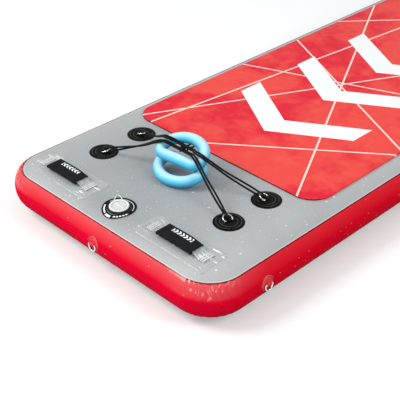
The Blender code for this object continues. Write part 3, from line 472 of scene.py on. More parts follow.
def pressed_pvc():
    """The same red where a tool has pressed rings into it, painted pale and dark in turn as highlight
    and shade on the rings' ridges and grooves.
    """
    finish = Finish("pressed_pvc", (0.82, 0.001, 0.022), 0.30, specular_ior_level=0.03)
    along = finish.along_rows()[0]
    rings = (along * (2 * math.pi / pressed_pitch)).maths("SINE")
    # Painted highlight on the rings' ridges and painted shade in their grooves.
    tone = finish.mix(rings.above(0.55, 0.5) * 0.55, red_tone(finish), (0.93, 0.30, 0.30))
    finish.paint(finish.mix(rings.below(-0.5, 0.5) * 0.60, tone, (0.36, 0.001, 0.010)))
    finish.roughen(0.24 + finish.noise(90.0, 3.0) * 0.16)
    finish.bump(rings + finish.noise(70.0, 3.0), 0.0008, 0.4)
    return finish.material


def drops(finish, scale, least, chance_edge):
    """A mask of drops: one in some of the cells, each with a size of its own."""
    spot = finish.node("ShaderNodeTexCoord").outputs["Object"]
    cells = finish.node("ShaderNodeTexVoronoi", {}, {"Vector": spot, "Scale": scale})
    distance = Value(finish, cells.outputs["Distance"])
    chance = Value(finish, finish.node("ShaderNodeSeparateColor", {},
                                       {0: cells.outputs["Color"]}).outputs[0])
    return distance.below(least + chance * 0.10, 0.03) * chance.above(chance_edge, 0.01)


def grey_pvc():
    finish = Finish("grey_pvc", (0.40, 0.415, 0.425), 0.42, specular_ior_level=0.30)
    x, _, z = finish.places()
    wet = finish.noise(3.1, 3.0).above(0.50, 0.25)
    # Water drops: their bump and gloss are real, and their pale colour is a painted glint.
    drop_and_glint = (drops(finish, 34.0, 0.02, 0.74) + drops(finish, 78.0, 0.05, 0.58) * wet
            + drops(finish, 130.0, 0.08, 0.78) * 0.7).clamped()
    clouds = finish.noise(2.4, 4.0, 0.6)
    # Painted shade: the deck's middle, round the grips, is painted darker, mixed with random clouds
    # of darker tone.
    middle_shade_and_clouds = (abs(x).below(0.20, 0.30) * 0.7 + clouds.below(0.50, 0.3) * 0.5).clamped()
    tone = finish.mix(middle_shade_and_clouds, (0.450, 0.453, 0.450), (0.322, 0.336, 0.348))
    edge = z.below(edge_height, seam_soft)
    tone = finish.mix(edge * 0.70, tone, (0.74, 0.70, 0.67))
    finish.paint(finish.mix(drop_and_glint * 0.62, tone, (0.93, 0.95, 0.96)))
    finish.roughen(0.36 + finish.noise(60.0, 3.0) * 0.18 - drop_and_glint * 0.32)
    grain = finish.noise(1100.0)
    ripple = finish.noise(34.0, 2.0, 0.5, (1.0, 2.2, 1.0))
    finish.bump(grain * 0.10 + ripple * 0.9 + drop_and_glint * 2.2, 0.0008, 0.40)
    return finish.material


red_looks = red_pvc()
pressed_looks = pressed_pvc()
grey_looks = grey_pvc()
print("coated cloth:", red_looks.name, "and", grey_looks.name)

# %% [markdown]
# The hull is drawn again with fine rows. The band is a closed skin whose section is a
# strip of the rail's ellipse. Where it turns a corner the flat cloth has too much
# length near the seam, and it puckers: short swells stand out just below the seam,
# with creases between them, and die out towards the rail's middle.

# %% Hull skins
# Steps of a corner, and of the short and the long sides
fine_outline = (54, (24, 72))
pucker_depth, pucker_count, pucker_reach = 0.0042, 9, 11.0
pucker_under_share = 0.3
skin_lap = 16.5


def rounded_outline(half_x, half_y, radius, corners=6, runs=(1, 1)):
    """A rectangle with round corners, anticlockwise; its sides can have points too."""
    arcs = []
    for corner, (sx, sy) in enumerate(((1, 1), (-1, 1), (-1, -1), (1, -1))):
        arc = []
        for step in range(corners + 1):
            angle = math.pi / 2 * (corner + step / corners)
            arc.append((sx * (half_x - radius) + radius * math.cos(angle),
                        sy * (half_y - radius) + radius * math.sin(angle)))
        arcs.append(arc)
    points = []
    for corner, arc in enumerate(arcs):
        points += arc
        start, end = arc[-1], arcs[(corner + 1) % 4][0]
        steps = runs[corner % 2]
        for k in range(1, steps):
            points.append((start[0] + (end[0] - start[0]) * k / steps,
                           start[1] + (end[1] - start[1]) * k / steps))
    return points


def hull_row(inset, height):
    return [Vector((x, y, height)) for x, y in
            rounded_outline(half_width - inset, half_length - inset, corner_radius - inset,
                            *fine_outline)]


def rail_arc(shrink_out, shrink_up, start, end, steps):
    """(inset, height, angle) along the rail's half ellipse; 90 degrees is the deck."""
    found = []
    for step in range(steps + 1):
        degrees = start + (end - start) * step / steps
        angle = math.radians(degrees)
        found.append((rail_reach - (rail_reach - shrink_out) * math.cos(angle),
                      mid_height + (mid_height - shrink_up) * math.sin(angle), degrees))
    return found


def puckered(point, degrees):
    """Push a point of the band out between the creases below the seams at a corner."""
    x = abs(point.x) - (half_width - corner_radius)
    y = abs(point.y) - (half_length - corner_radius)
    if x <= 0 or y <= 0:
        return point
    share = math.atan2(y, x) / (math.pi / 2)
    below_seam = (seam_angle - abs(degrees)) / pucker_reach
    swell = below_seam * math.exp(1 - below_seam)
    middle = math.sin(math.pi * share) * (1.0 if degrees > 0 else pucker_under_share)
    wobble = math.sin(7.0 * share + 2.0 * below_seam) + 0.6 * math.sin(17.0 * share)
    crease = math.cos(2 * math.pi * pucker_count * (share + 0.03 * wobble)) * 0.5 + 0.5
    push = pucker_depth * swell * middle * (1 - crease ** 2)
    centre = Vector((math.copysign(half_width - corner_radius, point.x),
                     math.copysign(half_length - corner_radius, point.y), mid_height))
    return point + (point - centre).normalized() * push


def make_band():
    outer = rail_arc(0, -band_total, -seam_angle, seam_angle, 30)
    inner = rail_arc(band_thick, -lap_gap, seam_angle, -seam_angle, 30)
    rows = [[puckered(p, degrees) for p in hull_row(inset, height)]
            for inset, height, degrees in outer + inner]
    return skin("rail_band_skin", rows, red_looks, closed=True)


def make_skin(name, side):
    start = seam_angle - skin_lap
    outer = rail_arc(band_total, 0, 90, start, 16)
    inner = rail_arc(band_total + skin_thick, skin_thick, start, 90, 8)
    rows = [hull_row(inset, mid_height + side * (height - mid_height))
            for inset, height, _ in outer + inner]
    return skin(name, rows, grey_looks)


for piece, node, slot in ((make_band(), "rail_band", "red_pvc"),
                          (make_skin("deck_cloth", 1), "deck_skin", "grey_pvc"),
                          (make_skin("bottom_cloth", -1), "bottom_skin", "grey_pvc")):
    settle(piece, "root", slot, node)
    print(piece.name, len(piece.data.vertices), "points")

# %% [markdown]
# The foam pad is a glued sheet with a rounded edge. Its print is drawn by the shader,
# in metres on the deck: cloudy red, pale lines that cross it, and bold white
# chevrons. Each line is one distance from a point along a direction, and a chevron
# is the distance from a line that is folded at the middle by the absolute value of x.

# %% Foam pad
pad_low, pad_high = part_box("deck_pad")
pad_half_x = (pad_high.x - pad_low.x) / 2
pad_half_y = (pad_high.y - pad_low.y) / 2
pad_middle_y = (pad_high.y + pad_low.y) / 2
pad_corner = 0.070
pad_thick = 0.006
pad_edge = 0.0028
line_half_width = 0.0030
# A point on each pale line, as plan metres, and its direction in degrees
pad_lines = ((-0.30, -0.62, 63), (-0.10, -0.71, 38), (0.28, -0.66, 118), (0.36, -0.30, 152),
             (-0.36, -0.20, 21), (-0.36, 0.35, 49), (0.20, 0.55, 104), (-0.05, 0.80, 12),
             (0.36, 0.10, 137), (-0.20, 0.15, 84))
chevron_tips = (-0.46, -0.17, 0.12)
chevron_rise = 0.62
chevron_half_width, chevron_half_span, chevron_soft = 0.040, 0.235, 0.0015


def red_foam():
    finish = Finish("red_foam", (0.76, 0.02, 0.03), 0.55, specular_ior_level=0.25)
    x, y, z = finish.places()
    clouds = finish.noise(4.2, 5.0, 0.62)
    tone = finish.mix(clouds.above(0.50, 0.12), (0.740, 0.008, 0.030), (0.830, 0.062, 0.050))
    mottle = finish.noise(26.0, 4.0, 0.6)
    tone = finish.mix(mottle.above(0.60, 0.25) * 0.35, tone, (0.84, 0.13, 0.10))
    masks = []
    for px, py, degrees in pad_lines:
        turn = math.radians(degrees)
        gap = abs((x - px) * -math.sin(turn) + (y - py) * math.cos(turn))
        masks.append(gap.below(line_half_width, 0.0012))
    lines = greatest(masks)
    tone = finish.mix(lines, tone, (0.90, 0.72, 0.62))
    fold = abs(x) * chevron_rise
    lean = math.cos(math.atan(chevron_rise))
    bold = greatest([(abs(y - tip - fold) * lean).below(chevron_half_width, chevron_soft)
                     for tip in chevron_tips])
    bold = bold * abs(x).below(chevron_half_span, chevron_soft)
    tone = finish.mix(bold, tone, (0.90, 0.90, 0.90))
    # Painted shade: the pad's edge face is painted dark.
    side = (z.below(deck_top + pad_thick * 0.62, 0.0008)
            * abs(x).below(pad_half_x - rail_reach / 12, 0.01))
    finish.paint(finish.mix(side, tone, (0.10, 0.002, 0.008)))
    finish.roughen(0.46 + mottle * 0.14)
    pores = finish.noise(900.0)
    finish.bump(pores * 0.25 - lines * 0.5, 0.0006, 0.4)
    return finish.material


def make_pad():
    rings = [(0.030, 0), (0.016, 0), (0.0, 0)]
    for angle in (math.pi / 2 * k / 4 for k in range(5)):
        rings.append((pad_edge * (1 - math.cos(angle)), pad_thick - pad_edge * (1 - math.sin(angle))))
    rings += [(inset, pad_thick) for inset in (0.008, 0.016, 0.030)]
    rows = []
    for inset, above in rings:
        outline = rounded_outline(pad_half_x - inset, pad_half_y - inset, pad_corner - inset,
                                  *fine_outline)
        rows.append([on_deck(x, y + pad_middle_y, fit + above) for x, y in outline])
    return skin("foam_pad", rows, red_foam())


pad = make_pad()
settle(pad, "root", "red_foam", "deck_pad")
print("foam pad:", round(2 * pad_half_x, 3), "x", round(2 * pad_half_y, 3), "m")

# %% [markdown]
# The small parts come in nine more finishes. Moulded rubber, neoprene and the valve's
# black plastic are almost black, and they reflect little, so their roughness, bump,
# painted highlights on the rubber's ridges and a few pale specks painted as glints of
# water do the work. Clear sheet is partly see-through and milky where it is welded, and
# its pale streaks are partly painted highlights. The cap's dish is painted darker as
# shade. The blue grips are foam with a deeper tone that drifts through it; their tops are
# painted pale as highlight and their undersides dark as shade.

# %% Finishes of the small parts
handle_x, handle_from_end, base_length = 0.234, 0.105, 0.262
# The sleeve's print: how far inward it lies, its chevrons' pitch, half its width and length
print_inward, print_pitch, print_half_width, print_half_length = 0.0110, 0.0120, 0.0070, 0.0370
# Metres along a moulded round's rows to its bead and its shoulder, and half the width of a ridge's
# painted highlight
bead_along, shoulder_along, ridge_half = 0.0116, 0.0220, 0.0010
cap_groove = 0.0162
yarn_pitch, yarns = 0.0042, 5


def black_rubber():
    """Moulded rubber; along a round's rows lie its bead and its inner shoulder, each with a painted
    highlight, and pale specks are painted glints of water drops.
    """
    finish = Finish("black_rubber", (0.005, 0.005, 0.005), 0.38, specular_ior_level=0.04)
    along = finish.along_rows()[0]
    cloud = finish.noise(70.0, 3.0)
    tone = finish.mix(cloud, (0.002, 0.002, 0.002), (0.010, 0.010, 0.008))
    ridges = (abs(along - bead_along).below(ridge_half, ridge_half)
              + abs(along - shoulder_along).below(ridge_half, ridge_half))
    # Painted highlight along the bead and the shoulder, broken up by noise.
    ridge_highlight = ridges * finish.noise(34.0).above(0.46, 0.12)
    tone = finish.mix(ridge_highlight.clamped() * 0.55, tone, (0.110, 0.108, 0.095))
    # Water drops: pale specks painted as glints, with a real bump.
    wet_specks_and_glints = drops(finish, 190.0, 0.05, 0.66)
    finish.paint(finish.mix(wet_specks_and_glints * 0.45, tone, (0.60, 0.58, 0.50)))
    finish.roughen(0.24 + cloud * 0.28)
    finish.bump(finish.noise(900.0, 3.0) + wet_specks_and_glints, 0.0004, 0.4)
    return finish.material


def black_plastic():
    finish = Finish("black_plastic", (0.008, 0.008, 0.009), 0.4, specular_ior_level=0.30)
    cloud = finish.noise(160.0, 3.0)
    finish.paint(finish.mix(cloud, (0.005, 0.005, 0.006), (0.014, 0.014, 0.015)))
    finish.roughen(0.32 + cloud * 0.20)
    finish.bump(finish.noise(1500.0), 0.0002, 0.3)
    return finish.material


def black_neoprene():
    """Knit-faced foam with a plain printed row of white chevrons on its inner half."""
    finish = Finish("black_neoprene", (0.009, 0.009, 0.010), 0.85, specular_ior_level=0.12)
    x, y, _ = finish.places()
    out = abs(x) - handle_x
    inward = (half_length - handle_from_end) - abs(y)
    fold = abs(inward - print_inward)
    stripe = ((out + fold * 0.9) / print_pitch).maths("FRACT").below(0.55, 0.06)
    row = fold.below(print_half_width, 0.0006) * abs(out).below(print_half_length, 0.0006)
    knit = finish.noise(1500.0, 2.0, 0.5, (1.0, 0.35, 1.0))
    cloud = finish.noise(42.0, 3.0)
    tone = finish.mix(cloud, (0.004, 0.004, 0.005), (0.014, 0.014, 0.016))
    finish.paint(finish.mix(stripe * row, tone, (0.86, 0.86, 0.86)))
    finish.roughen(0.70 + cloud * 0.2)
    finish.bump(knit * 0.4 + cloud, 0.0008, 0.5)
    return finish.material


def white_plastic(name, pale, groove=None):
    """Moulded plastic; past a groove along the rows the dish is painted darker as shade, and a line
    of painted shade runs in the groove itself.
    """
    finish = Finish(name, (pale, pale, pale), 0.36, specular_ior_level=0.3)
    along = finish.along_rows()[0]
    cloud = finish.noise(120.0, 3.0)
    tone = finish.mix(cloud, (pale, pale, pale * 0.99), (pale * 0.88, pale * 0.89, pale * 0.89))
    if groove:
        # Painted shade in the dish past the groove, and a line of painted shade along the groove.
        tone = finish.mix(along.above(groove, 0.0006) * 0.30, tone, (0.36, 0.36, 0.35))
        groove_shade = abs(along - groove).below(0.0009, 0.0008) * finish.noise(46.0).above(0.40, 0.2)
        tone = finish.mix(groove_shade * 0.75, tone, (0.16, 0.16, 0.16))
    finish.paint(tone)
    finish.roughen(0.28 + cloud * 0.2)
    finish.bump(finish.noise(1400.0), 0.0002, 0.3)
    return finish.material


def stainless_steel():
    finish = Finish("stainless_steel", (0.78, 0.78, 0.79), 0.16, metallic=1.0)
    cloud = finish.noise(260.0, 4.0)
    finish.paint(finish.mix(cloud, (0.82, 0.82, 0.82), (0.66, 0.66, 0.67)))
    finish.roughen(0.10 + cloud * 0.16)
    finish.bump(finish.noise(2100.0, 2.0, 0.5, (1.0, 1.0, 0.3)), 0.0001, 0.3)
    return finish.material


def clear_pvc():
    finish = Finish("clear_pvc", (0.72, 0.74, 0.75), 0.14, coat_weight=0.2)
    haze = finish.noise(30.0, 3.0, 0.55)
    # Pale streaks: partly the sheet's milky haze and partly painted highlights, whitest at the welded
    # ends.
    milky_and_highlight_streaks = finish.noise(70.0, 3.0, 0.6, (0.35, 1.6, 1.0)).above(0.60, 0.05)
    x = finish.places()[0]
    ends = abs(abs(x) - handle_x).above(base_length * 0.30, 0.02)
    outer = x.above(0.0, 0.01) * (x - handle_x) + x.below(0.0, 0.01) * (x + handle_x)
    ends = ends * (0.6 + outer.above(0.0, 0.02) * 0.4)
    share = (milky_and_highlight_streaks * (0.15 + ends * 0.85)).clamped()
    finish.paint(finish.mix(share, (0.62, 0.64, 0.65), (0.95, 0.96, 0.96)))
    finish.roughen(0.10 + haze * 0.16)
    finish.feed(finish.shader.inputs["Alpha"], 0.20 + haze * 0.24 + ends * 0.12 + share * 0.44)
    finish.bump(finish.noise(60.0) + milky_and_highlight_streaks * 0.3, 0.0008, 0.30)
    return finish.material


def weld_pvc():
    """Clear sheet that has turned milky along its welds."""
    finish = Finish("weld_pvc", (0.86, 0.87, 0.88), 0.22, coat_weight=0.4)
    haze = finish.noise(240.0, 3.0, 0.6)
    finish.paint(finish.mix(haze, (0.74, 0.76, 0.77), (0.95, 0.96, 0.96)))
    finish.roughen(0.16 + haze * 0.2)
    finish.feed(finish.shader.inputs["Alpha"], 0.55 + haze * 0.40)
    finish.bump(haze, 0.0004, 0.4)
    return finish.material


def blue_foam():
    """Soft foam, painted pale where it faces up as a painted highlight and painted deeper underneath
    as painted shade.
    """
    finish = Finish("blue_foam", (0.22, 0.66, 0.90), 0.5, specular_ior_level=0.25)
    facing = finish.node("ShaderNodeTexCoord").outputs["Normal"]
    up = Value(finish, finish.node("ShaderNodeSeparateXYZ", {}, {0: facing}).outputs[2])
    drift = finish.noise(18.0, 3.0)
    tone = finish.mix(drift.above(0.5, 0.4), (0.100, 0.560, 0.840), (0.180, 0.660, 0.890))
    # Painted shade under the tube, then painted highlight on its top.
    tone = finish.mix(up.below(0.05, 0.8) * 0.85, tone, (0.006, 0.330, 0.560))
    finish.paint(finish.mix(up.above(0.72, 0.50) * 0.8, tone, (0.560, 0.840, 0.930)))
    finish.roughen(0.42 + finish.noise(140.0, 3.0) * 0.2)
    finish.bump(finish.noise(1600.0) * 0.3 + drift * 0.4, 0.0005, 0.35)
    return finish.material


def braided_cord():
    """Two families of yarns wind round the cord, read from metres and turns."""
    finish = Finish("braided_cord", (0.006, 0.006, 0.006), 0.62, specular_ior_level=0.12)
    along, turns = finish.along_rows()
    pitch = along * (2 * math.pi / yarn_pitch)
    round_angle = turns * (2 * math.pi * yarns)
    left = (pitch + round_angle).maths("SINE")
    right = (pitch - round_angle).maths("SINE")
    weave = left * right * 0.5 + 0.5
    finish.paint(finish.mix(weave, (0.002, 0.002, 0.002), (0.012, 0.012, 0.012)))
    finish.roughen(0.50 + weave * 0.2)
    finish.bump(weave, 0.0004, 0.6)
    return finish.material


rubber_looks = black_rubber()
plastic_looks = black_plastic()
neoprene_looks = black_neoprene()
white_looks = white_plastic("white_plastic", 0.76)
cap_looks = white_plastic("cap_plastic", 0.80, cap_groove)
tether_looks = white_plastic("tether_plastic", 0.90)
steel_looks = stainless_steel()
clear_looks = clear_pvc()
weld_looks = weld_pvc()
blue_looks = blue_foam()
braid_looks = braided_cord()
print("small finishes ready:", len(bpy.data.materials), "materials in all")

# %% [markdown]
# The pull grips are foam tubes bent into a D. The lower one leans on the deck and the
# upper one lies across it. Each is placed by its plan position and its lean, and then
# lowered to the height that the frame gives for its node.

# %% Pull grips
grip_radius = 0.0165
grip_bar, grip_corner, grip_arc = 0.0535, 0.0210, 0.0600


def d_line(bar, corner, arc, steps=(4, 6, 30)):
    """The centre line of a D: its bar lies on X through the origin, its arc at +Y."""
    bar_steps, corner_count, arc_steps = steps
    points = []
    for k in range(bar_steps):
        points.append((-bar + 2 * bar * k / bar_steps, 0))
    for k in range(corner_count):
        angle = math.pi / 2 * (k / corner_count - 1)
        points.append((bar + corner * math.cos(angle), corner + corner * math.sin(angle)))
    for k in range(arc_steps):
        angle = math.pi * k / arc_steps
        points.append(((bar + corner) * math.cos(angle), corner + arc * math.sin(angle)))
    for k in range(corner_count):
        angle = math.pi + math.pi / 2 * k / corner_count
        points.append((-bar + corner * math.cos(angle), corner + corner * math.sin(angle)))
    return [Vector((x, y, 0)) for x, y in points]


def grip_line(node, x, from_end, yaw, roll, tilt, facing):
    turn = math.radians(yaw) + (math.pi if facing < 0 else 0)
    place = Matrix.Translation((x, from_end - half_length, 0)) @ Matrix.Rotation(turn, 4, "Z") \
        @ Matrix.Rotation(-math.radians(roll) * facing, 4, "Y") \
        @ Matrix.Rotation(math.radians(tilt) * facing, 4, "X")
    line = [place @ p for p in d_line(grip_bar, grip_corner, grip_arc)]
    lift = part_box(node)[0].z - (min(p.z for p in line) - grip_radius)
    return [p + upward * lift for p in line]


lower_line = grip_line("pull_grip_lower", 0.0020, 0.3530, 3.5, 1.7, 14.5, -1)
upper_line = grip_line("pull_grip_upper", 0.0, 0.3180, 4.5, 2.1, 23.0, 1)
for node, line in (("pull_grip_lower", lower_line), ("pull_grip_upper", upper_line)):
    grip = skin(node + "_foam", tube_rows(line, grip_radius, 28, loop=True), blue_looks, closed=True)
    settle(grip, "pull_grips", "blue_grip", node)

# %% [markdown]
# Each elastic cord is doubled. It leaves the knot, goes round its steel ring and comes
# back, so it is one tube with two strands side by side. The route has three points,
# the same as in the construction: over the upper grip, on the way down, and the knot.
# Strands that would dip into a grip are lifted clear of its centre line, and their
# ends run on into the middle of the knot, where nobody sees them. The bight hangs a
# little slack in its ring at rest, so the ring's arc is still inside it when it tilts up.

# %% Elastic cords
cord_width, cord_pitch, cord_clearance = 0.0058, 0.0068, 0.0018
ring_wire = 0.0022
bight_gap, bight_slack, blend_back = 0.0008, 0.0066, 0.0115
strand_points, cord_points = 14, 160
hump_reach, knot_fade = 2.2, 4
knot_centre = Vector((-0.0060, 0.3505 - half_length, deck_top + 0.0800))
# The crossing, the way down and the knot: across, from the valve end, above the deck
front_knot, rear_knot = (-0.0060, 0.3440, 0.0800), (-0.0060, 0.3570, 0.0860)
cord_routes = {
    "front_left": ((-0.0740, 0.3255, 0.0800), (-0.0540, 0.3320, 0.0860), front_knot),
    "rear_left": ((-0.0740, 0.3440, 0.0900), (-0.0540, 0.3490, 0.0930), rear_knot),
    "front_right": ((0.0690, 0.3240, 0.0800), (0.0400, 0.3320, 0.0860), front_knot),
    "rear_right": ((0.0740, 0.3420, 0.0850), (0.0400, 0.3495, 0.0900), rear_knot),
}
ring_tilt = math.radians(22.0)
ring_bar, ring_corner, ring_arc = 0.0090, 0.0042, 0.0165


def line_gap(point, line):
    least = math.inf
    for start, end in zip(line, line[1:] + line[:1]):
        along = end - start
        share = max(0, min(1, (point - start).dot(along) / along.length_squared))
        least = min(least, (point - start - along * share).length)
    return least


def lifted(point, clear):
    raised = point.copy()
    while min(line_gap(raised, line) for line in (lower_line, upper_line)) < clear:
        raised.z += fit
    return raised


def eased(points, clear):
    """Lift a strand clear of the grips in one smooth hump that ends at the knot."""
    rises = [lifted(point, clear).z - point.z for point in points]
    hump = []
    for here, point in enumerate(points):
        rise = max(value * math.exp(-((k - here) / hump_reach) ** 2)
                   for k, value in enumerate(rises))
        fade = min((len(points) - 1 - here) / knot_fade, 1)
        hump.append(point + upward * max(rise * fade, rises[here]))
    return hump


def deck_ring_frame(name):
    """Hinge point of a deck ring, its heading in plan, and the matrix it stands in."""
    spot, axis = hinge("deck_ring_" + name + "_tilt")
    heading = Vector((-axis.y, axis.x, 0))
    out = heading * math.cos(ring_tilt) + upward * math.sin(ring_tilt)
    return spot, heading, placed(spot, axis, out)


def cord_route(name):
    return [Vector((x, from_end - half_length, deck_top + above))
            for x, from_end, above in cord_routes[name]]


def cord_line(name):
    clear = grip_radius + cord_width / 2 + cord_clearance
    tip = deck_ring_frame(name)[2] @ Vector((0, ring_corner + ring_arc, 0))
    route = cord_route(name)
    bend = ring_wire + bight_gap + cord_width / 2
    outward = (route[0] - tip).normalized()
    up = outward.cross(upward).cross(outward).normalized()
    middle = spline([tip + outward * bend * 1.6] + route, strand_points)
    strands = ([], [])
    for k, point in enumerate(middle):
        share = min(2 * k / (strand_points - 1), 1)
        here = middle[min(k + 2, strand_points - 1)] - middle[max(k - 2, 0)]
        flat = here.cross(upward).normalized()
        angle = math.pi / 2 * share
        half = bend + (cord_pitch / 2 - bend) * share
        offset = (flat.cross(here).normalized() * math.cos(angle) + flat * math.sin(angle)) * half
        strands[0].append(point + offset)
        strands[1].append(point - offset)
    strands = [eased(strand, clear) for strand in strands]
    bight = []
    for k in range(9):
        angle = math.pi / 2 - math.pi * k / 8
        bight.append(tip - outward * (bight_slack + bend * math.cos(angle))
                     + up * bend * math.sin(angle))
    ends = [knot_centre.lerp(strand[-1], 0.25) for strand in strands]
    return spline([ends[0]] + strands[0][::-1] + bight + strands[1] + [ends[1]], cord_points)


for name in cord_routes:
    line = cord_line(name)
    cord = skin("cord_" + name, tube_rows(line, cord_width / 2, 14), braid_looks)
    start = deck_ring_frame(name)[2] @ Vector((0, -blend_back, 0))
    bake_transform(cord)
    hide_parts("elastic_cord_" + name)
    print(cord.name, "is", round(sum(steps_of(line)), 3), "m long")

# %% [markdown]
# The four cords meet in one overhand knot. Its centre line is a trefoil cut open, the
# textbook curve for that knot, and the pull has drawn the cord a little thinner in it.
# Its two tails stand up and away from the pulling side, and their cut ends are melted
# round, so each end gets a small dome.

# %% Knot
knot_spread, knot_height = 0.0039, 0.0056
knotted_radius = 0.0027
knot_start, knot_end, knot_steps = 0.60, 2.30, 28
dome_angles = (math.radians(35), math.radians(70))
# Points of the tails, as shares of the knot's spread and height
first_tail = ((2.4, 4.6, 2.1), (1.6, 3.5, 1.6), (0.6, 2.3, 1.1))
last_tail = ((3.1, 2.0, 0.4), (4.5, 2.9, 1.2), (6.8, 3.8, 2.1))


def knot_line():
    shares = list(first_tail)
    for k in range(knot_steps + 1):
        t = math.pi * (knot_start + (knot_end - knot_start) * k / knot_steps)
        shares.append((math.sin(t) + 2 * math.sin(2 * t), math.cos(t) - 2 * math.cos(2 * t),
                       -math.sin(3 * t)))
    shares += last_tail
    return spline([knot_centre + Vector((knot_spread * x, knot_spread * y, knot_height * z))
                   for x, y, z in shares], 150)


def domed(rows, line, radius):
    """Close a tube's rows with a small dome at each end."""
    ends = []
    for row, end, inner in ((rows[0], line[0], line[1]), (rows[-1], line[-1], line[-2])):
        out = (end - inner).normalized()
        ends.append([[end + (p - end) * math.cos(a) + out * radius * math.sin(a) for p in row]
                     for a in dome_angles])
    return ends[0][::-1] + rows + ends[1]


tails_and_knot = knot_line()
knot_rows = tube_rows(tails_and_knot, knotted_radius, 14)
knot = skin("knot", domed(knot_rows, tails_and_knot, knotted_radius), braid_looks)
settle(knot, "pull_grips", "elastic_cord", "cord_knot")

# %% [markdown]
# A D-ring is bent from round bar. The same outline serves the large deck rings and the
# rail rings. Their hinges are read from the frame's joints: the axis carries the bar,
# and the arc leans up on the deck or hangs down at the rail.

# %% Steel rings
ring_line = d_line(ring_bar, ring_corner, ring_arc, (4, 6, 28))


def rail_ring_frame(name):
    spot, axis = hinge("rail_ring_" + name + "_swing")
    return placed(spot, axis, -upward)


def make_ring(node, body, place):
    rows = tube_rows([place @ p for p in ring_line], ring_wire, 16, loop=True)
    ring = skin(node + "_steel", rows, steel_looks, closed=True)
    settle(ring, body, "stainless_steel", node)


deck_places = ("front_left", "front_right", "rear_left", "rear_right")
rail_places = ("front", "rear") + deck_places
for name in deck_places:
    make_ring("deck_ring_" + name, "tie_ring_" + name, deck_ring_frame(name)[2])
for name in rail_places:
    make_ring("rail_ring_" + name, "clip_ring_" + name, rail_ring_frame(name))
print(len(deck_places), "deck rings and", len(rail_places), "rail rings")

# %% [markdown]
# Each deck ring is held by a moulded rubber round. Its profile steps up from a thin
# welded rim, over a raised bead, to the flat middle. A bridge with a tunnel for the
# ring's bar crosses the middle. The bridge is a skin between an outer arch and a
# round hole, so it is open right through.

# %% Moulded ring patches
patch_profile = millimetres(
    (42, 0), (43.7, 0), (44, 0.4), (43.7, 0.9), (41.36, 1.2), (37.84, 1.5), (36.74, 2.4),
    (35.2, 2.7), (33.66, 2.4), (32.56, 1.6), (29.04, 1.7), (26.4, 2.6), (24.64, 3), (13.2, 3))
patch_thick = 0.0030
bar_height = patch_thick + ring_wire + 0.0004
bridge_half, bridge_reach, bridge_soft = 0.0080, 0.0052, 0.0009
bridge_sunk, bridge_rise = 0.0006, 0.0078
tunnel_radius = ring_wire + 0.0008


def bridge_rows(place, low, hole_height, arch_top):
    """Rows of a bridge along local X: outer arch, then its tunnel, at both ends."""
    steps = 32
    outer, inner = [], []
    for k in range(steps):
        angle = 2 * math.pi * (k + 0.5) / steps
        c, s = math.cos(angle), math.sin(angle)
        reach = bridge_reach / max(abs(c), 0.35) if s < 0 else bridge_reach
        y = max(-bridge_reach, min(bridge_reach, c * reach))
        z = max(low, hole_height + (s * (arch_top - hole_height) if s > 0 else s * reach))
        outer.append((y, z))
        inner.append((tunnel_radius * c, hole_height + tunnel_radius * s))
    rows = []
    for x, shrink in ((-bridge_half, bridge_soft), (-bridge_half + bridge_soft, 0),
                      (bridge_half - bridge_soft, 0), (bridge_half, bridge_soft)):
        narrow = 1 - shrink / bridge_reach
        rows.append([place @ Vector((x, y * narrow, z - (shrink if z > hole_height else 0)))
                     for y, z in outer])
    for x in (bridge_half, -bridge_half):
        rows.append([place @ Vector((x, y, z)) for y, z in inner])
    return rows


def make_deck_patch(name):
    spot, heading, _ = deck_ring_frame(name)
    place = placed(spot - upward * bar_height, heading.cross(upward), heading)
    bridge = bridge_rows(place, patch_thick - bridge_sunk, bar_height, patch_thick + bridge_rise)
    patch = skin("moulded_round_" + name, bridge, rubber_looks, closed=True,
                 open_skins=[turned_rows(patch_profile, 72, place)])
    settle(patch, "root", "black_rubber", "deck_ring_patch_" + name)


for name in deck_places:
    make_deck_patch(name)
print("moulded rounds are", round(2000 * max(patch_profile)[0]), "mm across")

# %% [markdown]
# The rail patches are cut from the band's own red cloth. They follow the rail's
# ellipse, so each point of the round is set on it first and then moved out by the
# cloth's thickness. A pressed ring and a small bridge hold the steel ring.

# %% Rail patches
rail_profile = millimetres(
    (22.56, 0), (24, 0), (24, 0.9), (23.28, 1.4), (21.6, 1.3), (20.16, 2.4), (18.72, 1.3),
    (16.8, 1.3), (15.36, 2.2), (13.92, 1.3), (12, 1.6), (6, 1.6))
rail_patch_thick = 0.0016
rail_ring_height = 0.078
rail_bar_out = fit + rail_patch_thick + ring_wire + 0.0008


def on_rail(across, up, above):
    """A point of the rail in the patch's frame, where +Y points out of the hull."""
    rise = mid_height + band_total
    height = rail_ring_height + up - mid_height
    share = math.sqrt(1 - (height / rise) ** 2)
    normal = Vector((0, share / rail_reach, height / rise ** 2)).normalized()
    return Vector((across, rail_reach * share - rail_reach, mid_height + height)) + normal * above


def make_rail_patch(name):
    hang = rail_ring_frame(name)
    out = hang.to_3x3().col[2].normalized()
    foot = hang.translation - out * rail_bar_out
    foot.z = 0
    place = placed(foot, out.cross(upward), out)
    rows = [[place @ on_rail(x, z, fit + above) for x, z in circle(radius, 56)]
            for radius, above in rail_profile]
    upright = place @ placed(upward * rail_ring_height, Vector((-1, 0, 0)), upward)
    bridge = bridge_rows(upright, fit + rail_patch_thick * 0.6, rail_bar_out,
                         rail_bar_out + ring_wire + 0.0026)
    patch = skin("rail_round_" + name, bridge, pressed_looks, closed=True, open_skins=[rows])
    settle(patch, "root", "red_pvc", "rail_ring_patch_" + name)


for name in rail_places:
    make_rail_patch(name)
print("rail rounds are", round(2000 * max(rail_profile)[0]), "mm across")

